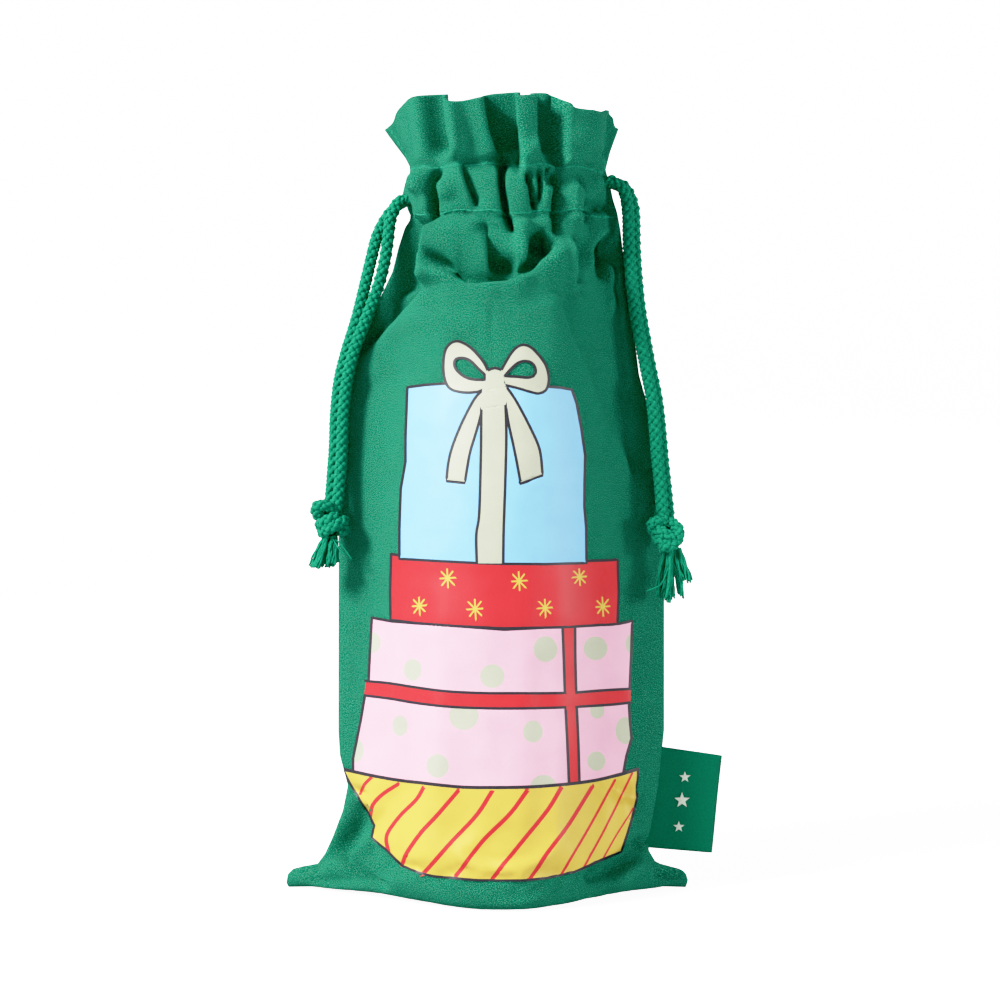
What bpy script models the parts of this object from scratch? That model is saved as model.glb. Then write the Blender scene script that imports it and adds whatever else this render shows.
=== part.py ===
"""Cotton drawstring wine gift bag, filled out to the shape it takes round a bottle.

Metres, +Z up.  The bag stands on its base at z = 0 with its printed front facing -Y,
and the origin is the middle of its footprint.  The sizes below are in millimetres.
"""
import bpy
import bmesh
import numpy as np
from math import acos, asin, cos, pi, radians, sin
from mathutils import Matrix, Vector

MM = 0.001
TOUCH = 0.3               # gap between pieces that lie against each other

# ---------------------------------------------------------------- driving dimensions
CLOTH = 1.6               # thickness of a cloth wall with its seam and fluff
SEAM_HALF = 1.7           # distance of a panel's sewn edge from the middle plane y = 0
BOTTLE_X = -1.0           # the bottle's axis, which the body of the bag wraps

# Height, left seam x, right seam x, half-width of the round middle, its half-depth.
BODY_PROFILE = (
    (0, -66.0, 57.0, 42.0, 40.5),
    (2, -66.0, 57.0, 44.0, 42.8),
    (6, -66.0, 57.0, 45.0, 43.6),
    (18, -66.0, 57.5, 45.0, 43.8),
    (29, -65.5, 60.0, 45.0, 43.8),
    (41, -62.5, 61.5, 45.0, 43.8),
    (63, -65.5, 64.0, 45.0, 43.8),
    (155, -66.0, 64.0, 45.0, 43.8),
    (187, -66.0, 59.0, 44.0, 42.0),
    (205, -62.5, 54.0, 42.0, 39.0),
    (217, -58.5, 52.0, 40.0, 36.5),
    (229, -53.5, 51.0, 38.0, 35.5),
    (240, -48.5, 50.5, 37.0, 36.0),
    (250, -43.5, 49.5, 36.0, 35.0),
    (266, -41.0, 44.5, 37.0, 30.0),
)
# How far along the turned-under base each row lies, from the bottom seam outwards, and
# how far its ends stop short of the side seam.
BASE_ROWS = ((0.0, 2.4), (0.35, 1.8), (0.7, 1.2))
ARC_STEPS = 10            # divisions of a panel's round middle

CASING_LOW = 266.4        # the cord channel, from its lower to its upper stitch row
CASING_HIGH = 286.0
CASING_A = 41.0           # half-width and half-depth of the channel's outer ply
CASING_B = 31.0
FACING_INSET = 9.0        # from the outer ply's face to the inner ply's face
SLIT_HALF = 6.6           # half-width of the side slits that the cords come out of
FACING_SLIT_HALF = 10.0
CASING_STEPS = 20

COLLAR_TOP = 312.0        # ruffle above the channel
COLLAR_DROP = (6.0, 2.5)  # how much lower its left and right ends are
COLLAR_FLARE = (6.5, 4.5)
COLLAR_WAVES = 5
COLLAR_WAVE_DEPTH = 1.5
COLLAR_CLOTH = 2.2        # two plies
COLLAR_STEPS = 40

CORD_D = 5.0
CORD_STEP = 7.5           # distance between points along a cord
ROUTE_DIVISIONS = 16      # points read from a smooth route between two of its own
LOOP_INSET = 5.0          # from the outer ply's face to the middle of a cord
LEFT_LOOP_Z = 276.0
RIGHT_LOOP_Z = 282.2
LOOP_LEAD = 5.8           # straight run inside each exit
LOOP_TURN = radians(34)   # how far from the exit the run leaves the ring
LEFT_EXIT = Vector((-39.5, 3.0, 274.6))
LEFT_EXIT_WAY = Vector((-0.95, 0.0, -0.31))
RIGHT_EXIT = Vector((41.0, 3.0, 281.8))
RIGHT_EXIT_WAY = Vector((1.0, 0.0, 0.05))
HINGE_ABOVE = 2.7         # the strands bend over the slit's top edge, not at mid-cord

# Routes of the four hanging strands, from the channel down to the knots.
LEFT_FRONT_ROUTE = (
    (-45.0, -4.6, 267.4), (-46.2, -5.6, 258.0), (-47.6, -6.2, 249.0),
    (-50.2, -6.8, 239.2), (-54.6, -7.6, 227.2), (-59.0, -8.2, 215.6),
    (-62.1, -8.6, 203.2), (-63.7, -8.8, 189.2), (-64.1, -8.8, 177.2),
    (-64.9, -9.2, 165.2), (-65.7, -10.4, 155.4),
)
LEFT_BACK_ROUTE = (
    (-46.6, 2.4, 268.8), (-50.6, 0.6, 261.0), (-52.9, -1.4, 252.0),
    (-55.8, -3.2, 240.0), (-60.0, -4.8, 226.8), (-64.3, -6.0, 215.0),
    (-67.5, -6.8, 203.0), (-69.1, -7.4, 189.2), (-69.6, -8.0, 177.2),
    (-70.4, -8.8, 165.2), (-71.3, -10.2, 155.4),
)
RIGHT_FRONT_ROUTE = (
    (47.6, -4.2, 278.4), (49.2, -5.4, 270.0), (49.5, -6.4, 257.2),
    (50.3, -7.0, 245.2), (51.8, -7.6, 231.2), (53.9, -8.2, 219.2),
    (56.2, -8.8, 207.2), (58.5, -9.4, 195.2), (59.7, -9.8, 183.2),
    (60.7, -10.2, 171.2), (61.9, -10.8, 159.2), (62.5, -11.8, 150.6),
)
RIGHT_BACK_ROUTE = (
    (49.8, 2.2, 280.0), (54.4, 0.4, 272.0), (54.9, -2.0, 257.2),
    (55.6, -3.8, 245.2), (57.0, -5.2, 231.2), (59.0, -6.4, 219.2),
    (61.4, -7.4, 207.2), (63.8, -8.2, 195.2), (65.1, -8.8, 183.2),
    (66.1, -9.6, 171.2), (67.3, -10.6, 159.2), (68.1, -11.6, 150.6),
)
# Knots and tassels: centre, and half-size or bottom centre and radii.
LEFT_KNOT = ((-68.4, -11.4, 146.6), (7.4, 6.4, 8.0))
RIGHT_KNOT = ((65.3, -12.8, 141.6), (7.4, 6.4, 8.2))
LEFT_TASSEL = ((-69.6, -11.4, 127.6), 4.6, 7.2)
RIGHT_TASSEL = ((67.6, -12.8, 113.8), 4.6, 8.2)

# Flattened corners that stand out beside the round base, as outlines in X and Z.
LEFT_CORNER = ((-66.5, 0.2), (-66.7, 23.0), (-70.0, 15.0), (-74.5, 9.6), (-82.4, 9.2),
               (-87.2, 2.6), (-85.0, 0.2))
RIGHT_CORNER = ((57.8, 0.2), (72.4, 0.2), (73.2, 3.0), (70.4, 7.0), (65.4, 8.4),
                (61.0, 9.6), (58.2, 13.0))
CORNER_HALF = 2.4

LABEL_HINGE_LOW = Vector((59.9, 0.0, 16.0))
LABEL_HINGE_HIGH = Vector((65.4, 0.0, 56.0))
LABEL_OUTER_LOW = Vector((83.2, 0.0, 14.2))
LABEL_OUTER_HIGH = Vector((87.2, 0.0, 53.0))
LABEL_HALF = 0.5

# Printed film: near and far reach from the middle of the front, then low and high z.
FILM = 0.3
PRINTS = {
    "print_blue_box": (-45.0, 33.5, 134.4, 198.5),
    "print_red_box": (-51.5, 51.5, 108.8, 134.0),
    "print_pink_box": (-60.0, 57.5, 50.6, 108.4),
    "print_yellow_box": (-60.0, 55.0, 13.0, 50.2),
    "print_ribbon_bow": (-24.0, 17.0, 198.9, 217.0),
}

COTTON = (0.010, 0.190, 0.105, 1.0)
CORD_GREEN = (0.006, 0.210, 0.110, 1.0)
THREAD = (0.030, 0.300, 0.170, 1.0)
SATIN = (0.004, 0.150, 0.075, 1.0)
PRINT_COLOURS = {
    "print_blue_box": (0.40, 0.72, 0.90, 1.0),
    "print_red_box": (0.78, 0.045, 0.045, 1.0),
    "print_pink_box": (0.84, 0.56, 0.68, 1.0),
    "print_yellow_box": (0.80, 0.62, 0.10, 1.0),
    "print_ribbon_bow": (0.74, 0.74, 0.60, 1.0),
}


# ---------------------------------------------------------------- scene helpers
def clear_scene():
    for thing in list(bpy.data.objects):
        bpy.data.objects.remove(thing, do_unlink=True)


def new_collection(name):
    made = bpy.data.collections.new(name)
    bpy.context.scene.collection.children.link(made)
    return made


def material(name, colour, roughness):
    made = bpy.data.materials.new(name)
    made.use_nodes = True
    shader = made.node_tree.nodes["Principled BSDF"]
    shader.inputs["Base Color"].default_value = colour
    shader.inputs["Roughness"].default_value = roughness
    shader.inputs["Metallic"].default_value = 0.0
    return made


def add_object(name, data, colour, roughness=0.9):
    """Link a new object for one piece of the bag, with a finish of its own."""
    made = bpy.data.objects.new(name, data)
    bag.objects.link(made)
    data.materials.append(material(name + "_finish", colour, roughness))
    return made


def parent_at(child, empty):
    """Hang a finished piece from its joint's empty without moving it."""
    child.parent = empty
    child.matrix_parent_inverse = empty.matrix_world.inverted()


def joint_empty(name, place):
    made = bpy.data.objects.new(name, None)
    made.location = place * MM
    bag.objects.link(made)
    made.matrix_world = Matrix.Translation(place * MM)
    return made


def solidify(thing, thickness, offset=-1.0):
    shell = thing.modifiers.new("cloth", "SOLIDIFY")
    shell.thickness = thickness * MM
    shell.offset = offset
    shell.use_even_offset = True


def sheet_object(name, rows, thickness, colour, outward_front=True, offset=-1.0,
                 roughness=0.9):
    """A cloth wall: rows of points from low to high, each running from -X to +X."""
    mesh = bpy.data.meshes.new(name)
    points = [point * MM for row in rows for point in row]
    width = len(rows[0])
    faces = []
    for r in range(len(rows) - 1):
        for c in range(width - 1):
            low = r * width + c
            face = (low, low + 1, low + 1 + width, low + width)
            faces.append(face if outward_front else face[::-1])
    mesh.from_pydata(points, [], faces)
    mesh.shade_smooth()
    thing = add_object(name, mesh, colour, roughness)
    solidify(thing, thickness, offset)
    return thing


# ---------------------------------------------------------------- smooth routes
def smooth_route(route):
    """Dense points on a smooth curve through the route's own points."""
    points = [Vector(p) for p in route]
    padded = [2 * points[0] - points[1]] + points + [2 * points[-1] - points[-2]]
    dense = []
    for before, start, end, after in zip(padded, padded[1:], padded[2:], padded[3:]):
        for step in range(ROUTE_DIVISIONS):
            t = step / ROUTE_DIVISIONS
            dense.append(0.5 * (2 * start + (end - before) * t
                                + (2 * before - 5 * start + 4 * end - after) * t ** 2
                                + (3 * start - before - 3 * end + after) * t ** 3))
    dense.append(points[-1])
    return dense


def even_points(dense, step):
    """The same curve with points at an even distance."""
    reach = [0.0]
    for a, b in zip(dense, dense[1:]):
        reach.append(reach[-1] + (b - a).length)
    count = max(2, round(reach[-1] / step))
    wanted = np.linspace(0.0, reach[-1], count + 1)
    columns = [np.interp(wanted, reach, [p[axis] for p in dense]) for axis in range(3)]
    return [Vector(p) for p in zip(*columns)]


def tube(name, points, diameter, colour, sides_level=2):
    curve = bpy.data.curves.new(name, "CURVE")
    curve.dimensions = "3D"
    curve.bevel_depth = diameter / 2 * MM
    curve.bevel_resolution = sides_level
    curve.use_fill_caps = True
    spline = curve.splines.new("POLY")
    spline.points.add(len(points) - 1)
    for target, point in zip(spline.points, points):
        target.co = (*(point * MM), 1.0)
    return add_object(name, curve, colour)


# ---------------------------------------------------------------- the body's shape
def level(z):
    """Left seam, right seam, and the round middle's half-width and half-depth."""
    heights = [row[0] for row in BODY_PROFILE]
    return [float(np.interp(z, heights, [row[k] for row in BODY_PROFILE]))
            for k in (1, 2, 3, 4)]


def half_section(reach, half_width):
    """Cloth pulled round an arc and straight on to a seam: (out, depth) as ratios."""
    reach = max(reach, half_width * 1.001)
    turn = acos(half_width / reach)
    touch = (half_width * cos(turn), sin(turn))
    arc = [(half_width * sin(a), cos(a))
           for a in np.linspace(0.0, pi / 2 - turn, ARC_STEPS // 2 + 1)]
    middle = ((touch[0] + reach) / 2, touch[1] / 2)
    return arc + [middle, (reach, 0.0)]


def panel_row(z, side, depth_share=1.0, short=0.0):
    left, right, half_width, half_depth = level(z)
    left_half = half_section(BOTTLE_X - left, half_width)
    right_half = half_section(right - BOTTLE_X, half_width)
    flat = [(BOTTLE_X - x, d) for x, d in reversed(left_half)]
    flat += [(BOTTLE_X + x, d) for x, d in right_half[1:]]
    flat[0] = (left + short, 0.0)
    flat[-1] = (right - short, 0.0)
    return [Vector((x, side * (SEAM_HALF + d * half_depth * depth_share), z))
            for x, d in flat]


def make_panel(name, side):
    rows = [panel_row(0.0, side, share, short) for share, short in BASE_ROWS]
    rows += [panel_row(row[0], side) for row in BODY_PROFILE]
    return sheet_object(name, rows, CLOTH, COTTON, outward_front=side < 0)


def front_point(s, z, proud):
    """A point on the front, s along the cloth from the middle, standing proud of it."""
    left, right, half_width, half_depth = level(z)
    reach = (BOTTLE_X - left) if s < 0 else (right - BOTTLE_X)
    turn = pi / 2 - acos(half_width / reach)
    way = -1 if s < 0 else 1
    along = abs(s)
    if along <= half_width * turn:
        angle = along / half_width
        out, depth = half_width * sin(angle), cos(angle)
    else:
        rest = along - half_width * turn
        out = half_width * sin(turn) + rest * cos(turn)
        depth = cos(turn) - rest * sin(turn) / half_width
        angle = turn
    normal = Vector((way * sin(angle), -cos(angle), 0.0))
    base = Vector((BOTTLE_X + way * out, -SEAM_HALF - depth * half_depth, z))
    return base + normal * proud


def make_print(name, near, far, low, high):
    """One patch of printed film lying on the front panel."""
    heights = [low] + [row[0] for row in BODY_PROFILE if low < row[0] < high] + [high]
    reaches = np.linspace(near, far, 15)
    proud = TOUCH + FILM + 0.3
    rows = [[front_point(s, z, proud) for s in reaches] for z in heights]
    return sheet_object(name, rows, FILM, PRINT_COLOURS[name], roughness=0.45)


# ---------------------------------------------------------------- seams and corners
def make_side_seam(name, way):
    """The overlocked seam allowance inside one side of the bag."""
    heights = [row[0] for row in BODY_PROFILE if 6 <= row[0] <= 250] + [262.0]
    rows = []
    for z in heights:
        edge = level(z)[0 if way < 0 else 1] - way * 2.6
        inner = edge - way * 6.5
        pair = sorted((edge, inner))
        rows.append([Vector((pair[0], 0.0, z)), Vector((pair[1], 0.0, z))])
    return sheet_object(name, rows, 1.2, COTTON, offset=0.0)


def make_bottom_seam():
    """The overlocked seam allowance that lies along the inside of the base."""
    mesh = bpy.data.meshes.new("bottom_seam")
    form = bmesh.new()
    bmesh.ops.create_cube(form, size=1.0)
    bmesh.ops.scale(form, vec=Vector((100, 8, 1.6)) * MM, verts=form.verts)
    middle = Vector((-4.5, 0.0, CLOTH + TOUCH + 0.8))
    bmesh.ops.translate(form, vec=middle * MM, verts=form.verts)
    form.to_mesh(mesh)
    form.free()
    return add_object("bottom_seam", mesh, COTTON)


def outline_object(name, outline, half_thickness, colour, place, roughness=0.9):
    """A flat piece standing in the XZ plane, extruded along Y."""
    curve = bpy.data.curves.new(name, "CURVE")
    curve.dimensions = "2D"
    curve.fill_mode = "BOTH"
    curve.extrude = half_thickness * MM
    spline = curve.splines.new("POLY")
    spline.use_cyclic_u = True
    spline.points.add(len(outline) - 1)
    for target, (x, z) in zip(spline.points, outline):
        target.co = ((x - place.x) * MM, (z - place.z) * MM, 0.0, 1.0)
    made = add_object(name, curve, colour, roughness)
    made.location = place * MM
    made.rotation_euler = (pi / 2, 0.0, 0.0)
    return made


# ---------------------------------------------------------------- channel and collar
def ring_row(half_width, half_depth, z, side, slit, steps):
    """Half a ring at one height, from the left slit to the right slit."""
    start = asin(min(0.9, slit / half_depth))
    return [Vector((-half_width * cos(a), side * half_depth * sin(a), z))
            for a in np.linspace(start, pi - start, steps + 1)]


def make_casing(name, side, inset, slit):
    rows = [ring_row(CASING_A - inset, CASING_B - inset, z, side, slit, CASING_STEPS)
            for z in (CASING_LOW, CASING_HIGH)]
    return sheet_object(name, rows, CLOTH, COTTON, outward_front=side < 0)


def make_collar(name, side):
    """The ruffle above the channel, flaring and waving outwards to its top edge."""
    rows = []
    for share in (0.0, 0.3, 0.65, 1.0):
        row = []
        start = asin(4.0 / CASING_B)
        for a in np.linspace(start, pi - start, COLLAR_STEPS + 1):
            wave = COLLAR_WAVE_DEPTH * share * cos(2 * COLLAR_WAVES * a)
            across = (1 - cos(a)) / 2
            sag = COLLAR_DROP[0] * (1 - across) ** 4 + COLLAR_DROP[1] * across ** 4
            low = CASING_HIGH + TOUCH
            z = low + share * (COLLAR_TOP - low - sag)
            half_width = CASING_A + COLLAR_FLARE[0] * share + wave
            half_depth = CASING_B + COLLAR_FLARE[1] * share + wave
            x = -half_width * cos(a) - 1.2 * share
            row.append(Vector((x, side * half_depth * sin(a), z)))
        rows.append(row)
    return sheet_object(name, rows, COLLAR_CLOTH, COTTON, outward_front=side < 0)


def make_stitch_row(name, side, z):
    """A row of sewing thread lying on the channel's outer ply."""
    proud = 0.5 + TOUCH + 0.1
    row = ring_row(CASING_A + proud, CASING_B + proud, z, side, SLIT_HALF + 1.0, 26)
    return tube(name, row, 0.9, THREAD, sides_level=1)


# ---------------------------------------------------------------- cords
def make_loop(name, z, exit_point, way):
    """A drawcord's run through the channel, all the way round and back to its exit."""
    half_width = CASING_A - LOOP_INSET
    half_depth = CASING_B - LOOP_INSET
    out = -1 if exit_point.x < 0 else 1
    turns = np.linspace(LOOP_TURN, 2 * pi - LOOP_TURN, 21)
    ring = [Vector((out * half_width * cos(a), half_depth * sin(a), z)) for a in turns]
    back_end = exit_point - way.normalized() * 0.2
    front_end = Vector((back_end.x, -back_end.y, back_end.z))
    lead = way.normalized() * LOOP_LEAD
    route = [back_end, back_end - lead] + ring + [front_end - lead, front_end]
    inside = smooth_route(route)[ROUTE_DIVISIONS:-ROUTE_DIVISIONS]
    points = [route[0]] + even_points(inside, CORD_STEP) + [route[-1]]
    return tube(name, points, CORD_D, CORD_GREEN)


def make_strand(name, exit_point, way, side, route):
    """A hanging strand, from the channel's end down to its knot."""
    start = Vector((exit_point.x, side * exit_point.y, exit_point.z))
    step = way.normalized()
    whole = [start + step * 0.2, start + step * 2.6] + list(route)
    free = smooth_route(whole)[ROUTE_DIVISIONS:]
    return tube(name, [whole[0]] + even_points(free, CORD_STEP), CORD_D, CORD_GREEN)


def make_knot(name, centre, half_size):
    mesh = bpy.data.meshes.new(name)
    form = bmesh.new()
    bmesh.ops.create_uvsphere(form, u_segments=14, v_segments=8, radius=1.0)
    bmesh.ops.scale(form, vec=Vector(half_size) * MM, verts=form.verts)
    form.to_mesh(mesh)
    form.free()
    mesh.shade_smooth()
    made = add_object(name, mesh, CORD_GREEN)
    made.matrix_world = Matrix.Translation(Vector(centre) * MM)
    return made


def make_tassel(name, knot, bottom, top_radius, bottom_radius):
    """The frayed cord ends below a knot."""
    centre, half_size = (Vector(v) for v in knot)
    foot = Vector(bottom)
    head = Vector((centre.x, centre.y, centre.z - half_size.z - TOUCH))
    axis = head - foot
    mesh = bpy.data.meshes.new(name)
    form = bmesh.new()
    bmesh.ops.create_cone(form, cap_ends=True, segments=14, radius1=bottom_radius * MM,
                          radius2=top_radius * MM, depth=axis.length * MM)
    form.to_mesh(mesh)
    form.free()
    mesh.shade_smooth()
    mesh.set_sharp_from_angle(angle=radians(40))
    made = add_object(name, mesh, CORD_GREEN)
    made.matrix_world = (Matrix.Translation((head + foot) / 2 * MM)
                         @ axis.to_track_quat("Z", "Y").to_matrix().to_4x4())
    return made


def make_drawcord(side_name, exit_point, way, routes, knot, tassel):
    """Both strands, the knot and the tassel, hung from the top edge of the slit."""
    ahead = way.normalized()
    upward = Vector((ahead.z, 0.0, -ahead.x)) * (-1 if ahead.x > 0 else 1)
    pivot = Vector((exit_point.x, 0.0, exit_point.z)) + upward * HINGE_ABOVE
    empty = joint_empty(side_name + "_drawcord_joint", pivot)
    pieces = [
        make_strand(side_name + "_front_strand", exit_point, way, -1, routes[0]),
        make_strand(side_name + "_back_strand", exit_point, way, 1, routes[1]),
        make_knot(side_name + "_knot", *knot),
        make_tassel(side_name + "_tassel", knot, *tassel),
    ]
    for piece in pieces:
        parent_at(piece, empty)


# ---------------------------------------------------------------- build
clear_scene()
bag = new_collection("wine_gift_bag")

make_panel("front_panel", -1)
make_panel("back_panel", 1)
make_side_seam("left_side_seam", -1)
make_side_seam("right_side_seam", 1)
make_bottom_seam()
origin = Vector((0.0, 0.0, 0.0))
outline_object("left_bottom_corner", LEFT_CORNER, CORNER_HALF, COTTON, origin)
outline_object("right_bottom_corner", RIGHT_CORNER, CORNER_HALF, COTTON, origin)

for side, where in ((-1, "front"), (1, "back")):
    make_casing(where + "_casing", side, 0.0, SLIT_HALF)
    make_casing(where + "_casing_facing", side, FACING_INSET, FACING_SLIT_HALF)
    make_collar(where + "_collar", side)
    make_stitch_row(where + "_lower_stitch_row", side, CASING_LOW + 1.2)
    make_stitch_row(where + "_upper_stitch_row", side, CASING_HIGH - 1.0)

make_loop("left_cord_loop", LEFT_LOOP_Z, LEFT_EXIT, LEFT_EXIT_WAY)
make_loop("right_cord_loop", RIGHT_LOOP_Z, RIGHT_EXIT, RIGHT_EXIT_WAY)
make_drawcord("left", LEFT_EXIT, LEFT_EXIT_WAY, (LEFT_FRONT_ROUTE, LEFT_BACK_ROUTE),
              LEFT_KNOT, LEFT_TASSEL)
make_drawcord("right", RIGHT_EXIT, RIGHT_EXIT_WAY, (RIGHT_FRONT_ROUTE, RIGHT_BACK_ROUTE),
              RIGHT_KNOT, RIGHT_TASSEL)

sewn_low = LABEL_HINGE_LOW + Vector((TOUCH, 0, 0))
sewn_high = LABEL_HINGE_HIGH + Vector((TOUCH, 0, 0))
label_outline = [(p.x, p.z) for p in (sewn_low, LABEL_OUTER_LOW, LABEL_OUTER_HIGH, sewn_high)]
outline_object("side_label", label_outline, LABEL_HALF, SATIN, LABEL_HINGE_LOW, 0.35)

for print_name, reach in PRINTS.items():
    make_print(print_name, *reach)
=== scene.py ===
import random
from math import cos, pi, radians, sin, sqrt

import bmesh
import bpy
import numpy as np
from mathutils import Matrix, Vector, noise
from mathutils.bvhtree import BVHTree
from mathutils.geometry import delaunay_2d_cdt


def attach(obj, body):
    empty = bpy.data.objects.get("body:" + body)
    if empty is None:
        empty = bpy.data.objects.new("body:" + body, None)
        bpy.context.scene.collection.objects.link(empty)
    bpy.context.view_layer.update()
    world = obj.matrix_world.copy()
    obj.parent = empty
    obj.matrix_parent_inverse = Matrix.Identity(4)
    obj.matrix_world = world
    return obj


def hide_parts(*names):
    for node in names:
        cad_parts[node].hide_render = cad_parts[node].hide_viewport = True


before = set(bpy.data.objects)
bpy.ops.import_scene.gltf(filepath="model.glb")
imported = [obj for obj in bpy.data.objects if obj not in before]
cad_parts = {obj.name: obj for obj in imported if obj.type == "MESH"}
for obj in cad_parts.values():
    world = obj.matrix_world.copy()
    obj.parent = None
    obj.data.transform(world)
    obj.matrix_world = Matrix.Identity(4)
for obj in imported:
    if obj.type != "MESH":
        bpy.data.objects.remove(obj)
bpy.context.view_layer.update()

MM = 0.001


# ------------------------------------------------------------------ camera, floor, light
CAMERA_BACK = 0.850       # distance in front of the bag's middle plane
CAMERA_UP = 0.183
CAMERA_X = -0.0016
LENS = 76.5
SHIFT_Y = -0.07
PAPER_GLOW = 0.12         # the paper's own light, which lifts the shadows
PAPER_SEEN = 1.5          # how much brighter it looks than it lights, for a white ground
TONE_WHITE = 2.2          # brightness shown as white
TONE_CURVE = ((0.015, 0.003), (0.05, 0.040), (0.09, 0.083), (0.2, 0.2), (0.4, 0.41),
              (0.7, 0.67), (1.0, 0.82), (1.4, 0.92))
WORLD_LIGHT = 0.12
LIGHT_AIM = (0.0, 0.0, 0.15)
# Soft round lights: name, place, size across, power
LIGHTS = (
    ("key_light", (-1.48, -0.98, 1.30), 0.55, 87.0),
    ("side_light", (1.60, -0.75, 0.30), 0.45, 17.0),
    ("fill_light", (0.3, -1.9, 0.5), 1.2, 2.0),
    ("top_light", (0.0, 0.3, 1.9), 1.4, 6.0),
    ("back_light", (0.6, 1.7, 0.9), 1.0, 14.0),
)


def make_stage():
    """Pale floor that sweeps up all round, soft studio light and the camera."""
    studio_paper()
    world = bpy.data.worlds.new("studio_world")
    world.use_nodes = True
    set_inputs(world.node_tree.nodes["Background"],
               {"Color": (1, 1, 1, 1), "Strength": WORLD_LIGHT})
    bpy.context.scene.world = world
    soften_highlights()
    for light in LIGHTS:
        add_light(*light)
    photo_camera()


def studio_paper():
    """The floor and its sweep, which the camera sees brighter than they light."""
    reach, rise, bend, turns = 2.3, 2.6, 0.7, 72
    profile = [(reach - bend, 0.0)]
    profile += [(reach - bend + bend * sin(a), bend - bend * cos(a))
                for a in np.linspace(0.1, pi / 2, 12)]
    profile.append((reach, rise))
    form = bmesh.new()
    rings = [[form.verts.new((r * cos(2 * pi * k / turns), r * sin(2 * pi * k / turns), z))
              for k in range(turns)] for r, z in profile]
    form.faces.new(rings[0])
    for low, high in zip(rings, rings[1:]):
        for k in range(turns):
            after = (k + 1) % turns
            form.faces.new((low[k], high[k], high[after], low[after]))
    finish, tree, shader = new_material("studio_paper")
    set_inputs(shader, {"Base Color": (0.45, 0.45, 0.45, 1.0), "Roughness": 0.9,
                        "Emission Color": (1.0, 1.0, 1.0, 1.0)})
    seen = add_node(tree, "ShaderNodeLightPath").outputs["Is Camera Ray"]
    glow = plus(tree, times(tree, seen, PAPER_SEEN), PAPER_GLOW)
    tree.links.new(glow, shader.inputs["Emission Strength"])
    form_object("studio_sweep", form, finish)


def photo_camera():
    """A level camera at the photograph's viewing angle."""
    data = bpy.data.cameras.new("photo_camera")
    data.lens = LENS
    data.sensor_width = 36.0
    data.shift_y = SHIFT_Y
    camera = bpy.data.objects.new("photo_camera", data)
    camera.location = (CAMERA_X, -CAMERA_BACK, CAMERA_UP)
    camera.rotation_euler = (pi / 2, 0.0, 0.0)
    bpy.context.scene.collection.objects.link(camera)
    bpy.context.scene.camera = camera


def soften_highlights():
    """Colours shown as they are, but rolling off softly towards paper white."""
    view = bpy.context.scene.view_settings
    view.view_transform = "Standard"
    view.use_curve_mapping = True
    view.curve_mapping.white_level = (TONE_WHITE, TONE_WHITE, TONE_WHITE)
    curve = view.curve_mapping.curves[3]
    curve.points[0].location = (0.0, 0.0)
    curve.points[-1].location = (1.0, 1.0)
    for seen, shown in TONE_CURVE:
        curve.points.new(seen / TONE_WHITE, shown)
    view.curve_mapping.update()


def add_light(name, place, size, power):
    """A round area light turned to the middle of the bag."""
    data = bpy.data.lights.new(name, "AREA")
    data.shape = "DISK"
    data.size = size
    data.energy = power
    light = bpy.data.objects.new(name, data)
    light.location = place
    aim = Vector(LIGHT_AIM) - Vector(place)
    light.rotation_euler = aim.to_track_quat("-Z", "Y").to_euler()
    bpy.context.scene.collection.objects.link(light)


# ------------------------------------------------------------------ meshes as objects
def new_object(name, mesh, finish=None):
    """A mesh as an object in the scene, with its material."""
    if finish:
        mesh.materials.append(finish)
    thing = bpy.data.objects.new(name, mesh)
    bpy.context.scene.collection.objects.link(thing)
    return thing


def form_object(name, form, finish, smooth=True):
    """An object from a bmesh, which is freed."""
    mesh = bpy.data.meshes.new(name)
    form.to_mesh(mesh)
    form.free()
    if smooth:
        mesh.shade_smooth()
    return new_object(name, mesh, finish)


def declare(piece, body, slot, *nodes):
    """Say which body carries a piece and hide the CAD nodes it replaces; the slot, what it is
    made of, is not used.
    """
    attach(piece, body)
    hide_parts(*nodes)
    return piece


# ------------------------------------------------------------------ materials
COTTON_DARK = (0.0002, 0.070, 0.036, 1)
COTTON_LIGHT = (0.004, 0.230, 0.132, 1)
# colour of the cotton's pale specks: partly the fibres' own tone, partly painted sheen
COTTON_FLUFF_SHEEN = (0.140, 0.480, 0.320, 1.0)
SATIN_DARK = (0.0004, 0.106, 0.054, 1)
SATIN_LIGHT = (0.002, 0.158, 0.084, 1)
FILM_ROUGHNESS = 0.42
# Printed colours, and the CAD node that each film replaces; the outlines replace none.
FILM_COLOURS = {
    "film_blue": (0.22, 0.52, 0.88, 1),
    "film_red": (0.56, 0.016, 0.024, 1),
    "film_pink": (0.80, 0.41, 0.54, 1),
    "film_yellow": (0.61, 0.44, 0.066, 1),
    "film_cream": (0.44, 0.46, 0.35, 1),
    "outline": (0.016, 0.014, 0.022, 1),
}
FILM_NODES = {
    "film_blue": "print_blue_box",
    "film_red": "print_red_box",
    "film_pink": "print_pink_box",
    "film_yellow": "print_yellow_box",
    "film_cream": "print_ribbon_bow",
}


def new_material(name):
    """A material, its node tree and its shader."""
    made = bpy.data.materials.new(name)
    made.use_nodes = True
    return made, made.node_tree, made.node_tree.nodes["Principled BSDF"]


def set_inputs(node, values):
    """Set a node's own sockets by name."""
    for name, value in values.items():
        node.inputs[name].default_value = value


# ------------------------------------------------------------------ the bag's cloth
PANEL_W = 165.0           # flat width of one panel
PANEL_H = 358.0           # flat height of one panel
CHANNEL_LOW_V = 312.5     # where the channel's two stitch rows lie on the flat panel
CHANNEL_HIGH_V = 331.0
CHANNEL_LOW_Z = 267.5
CHANNEL_HIGH_Z = 285.6
COLS = 44                 # cells across one panel in the simulation
ROWS = 94                 # cells up one panel in the simulation
BOTTLE_X = -1.0
BOTTLE_SIDES = 48
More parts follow.
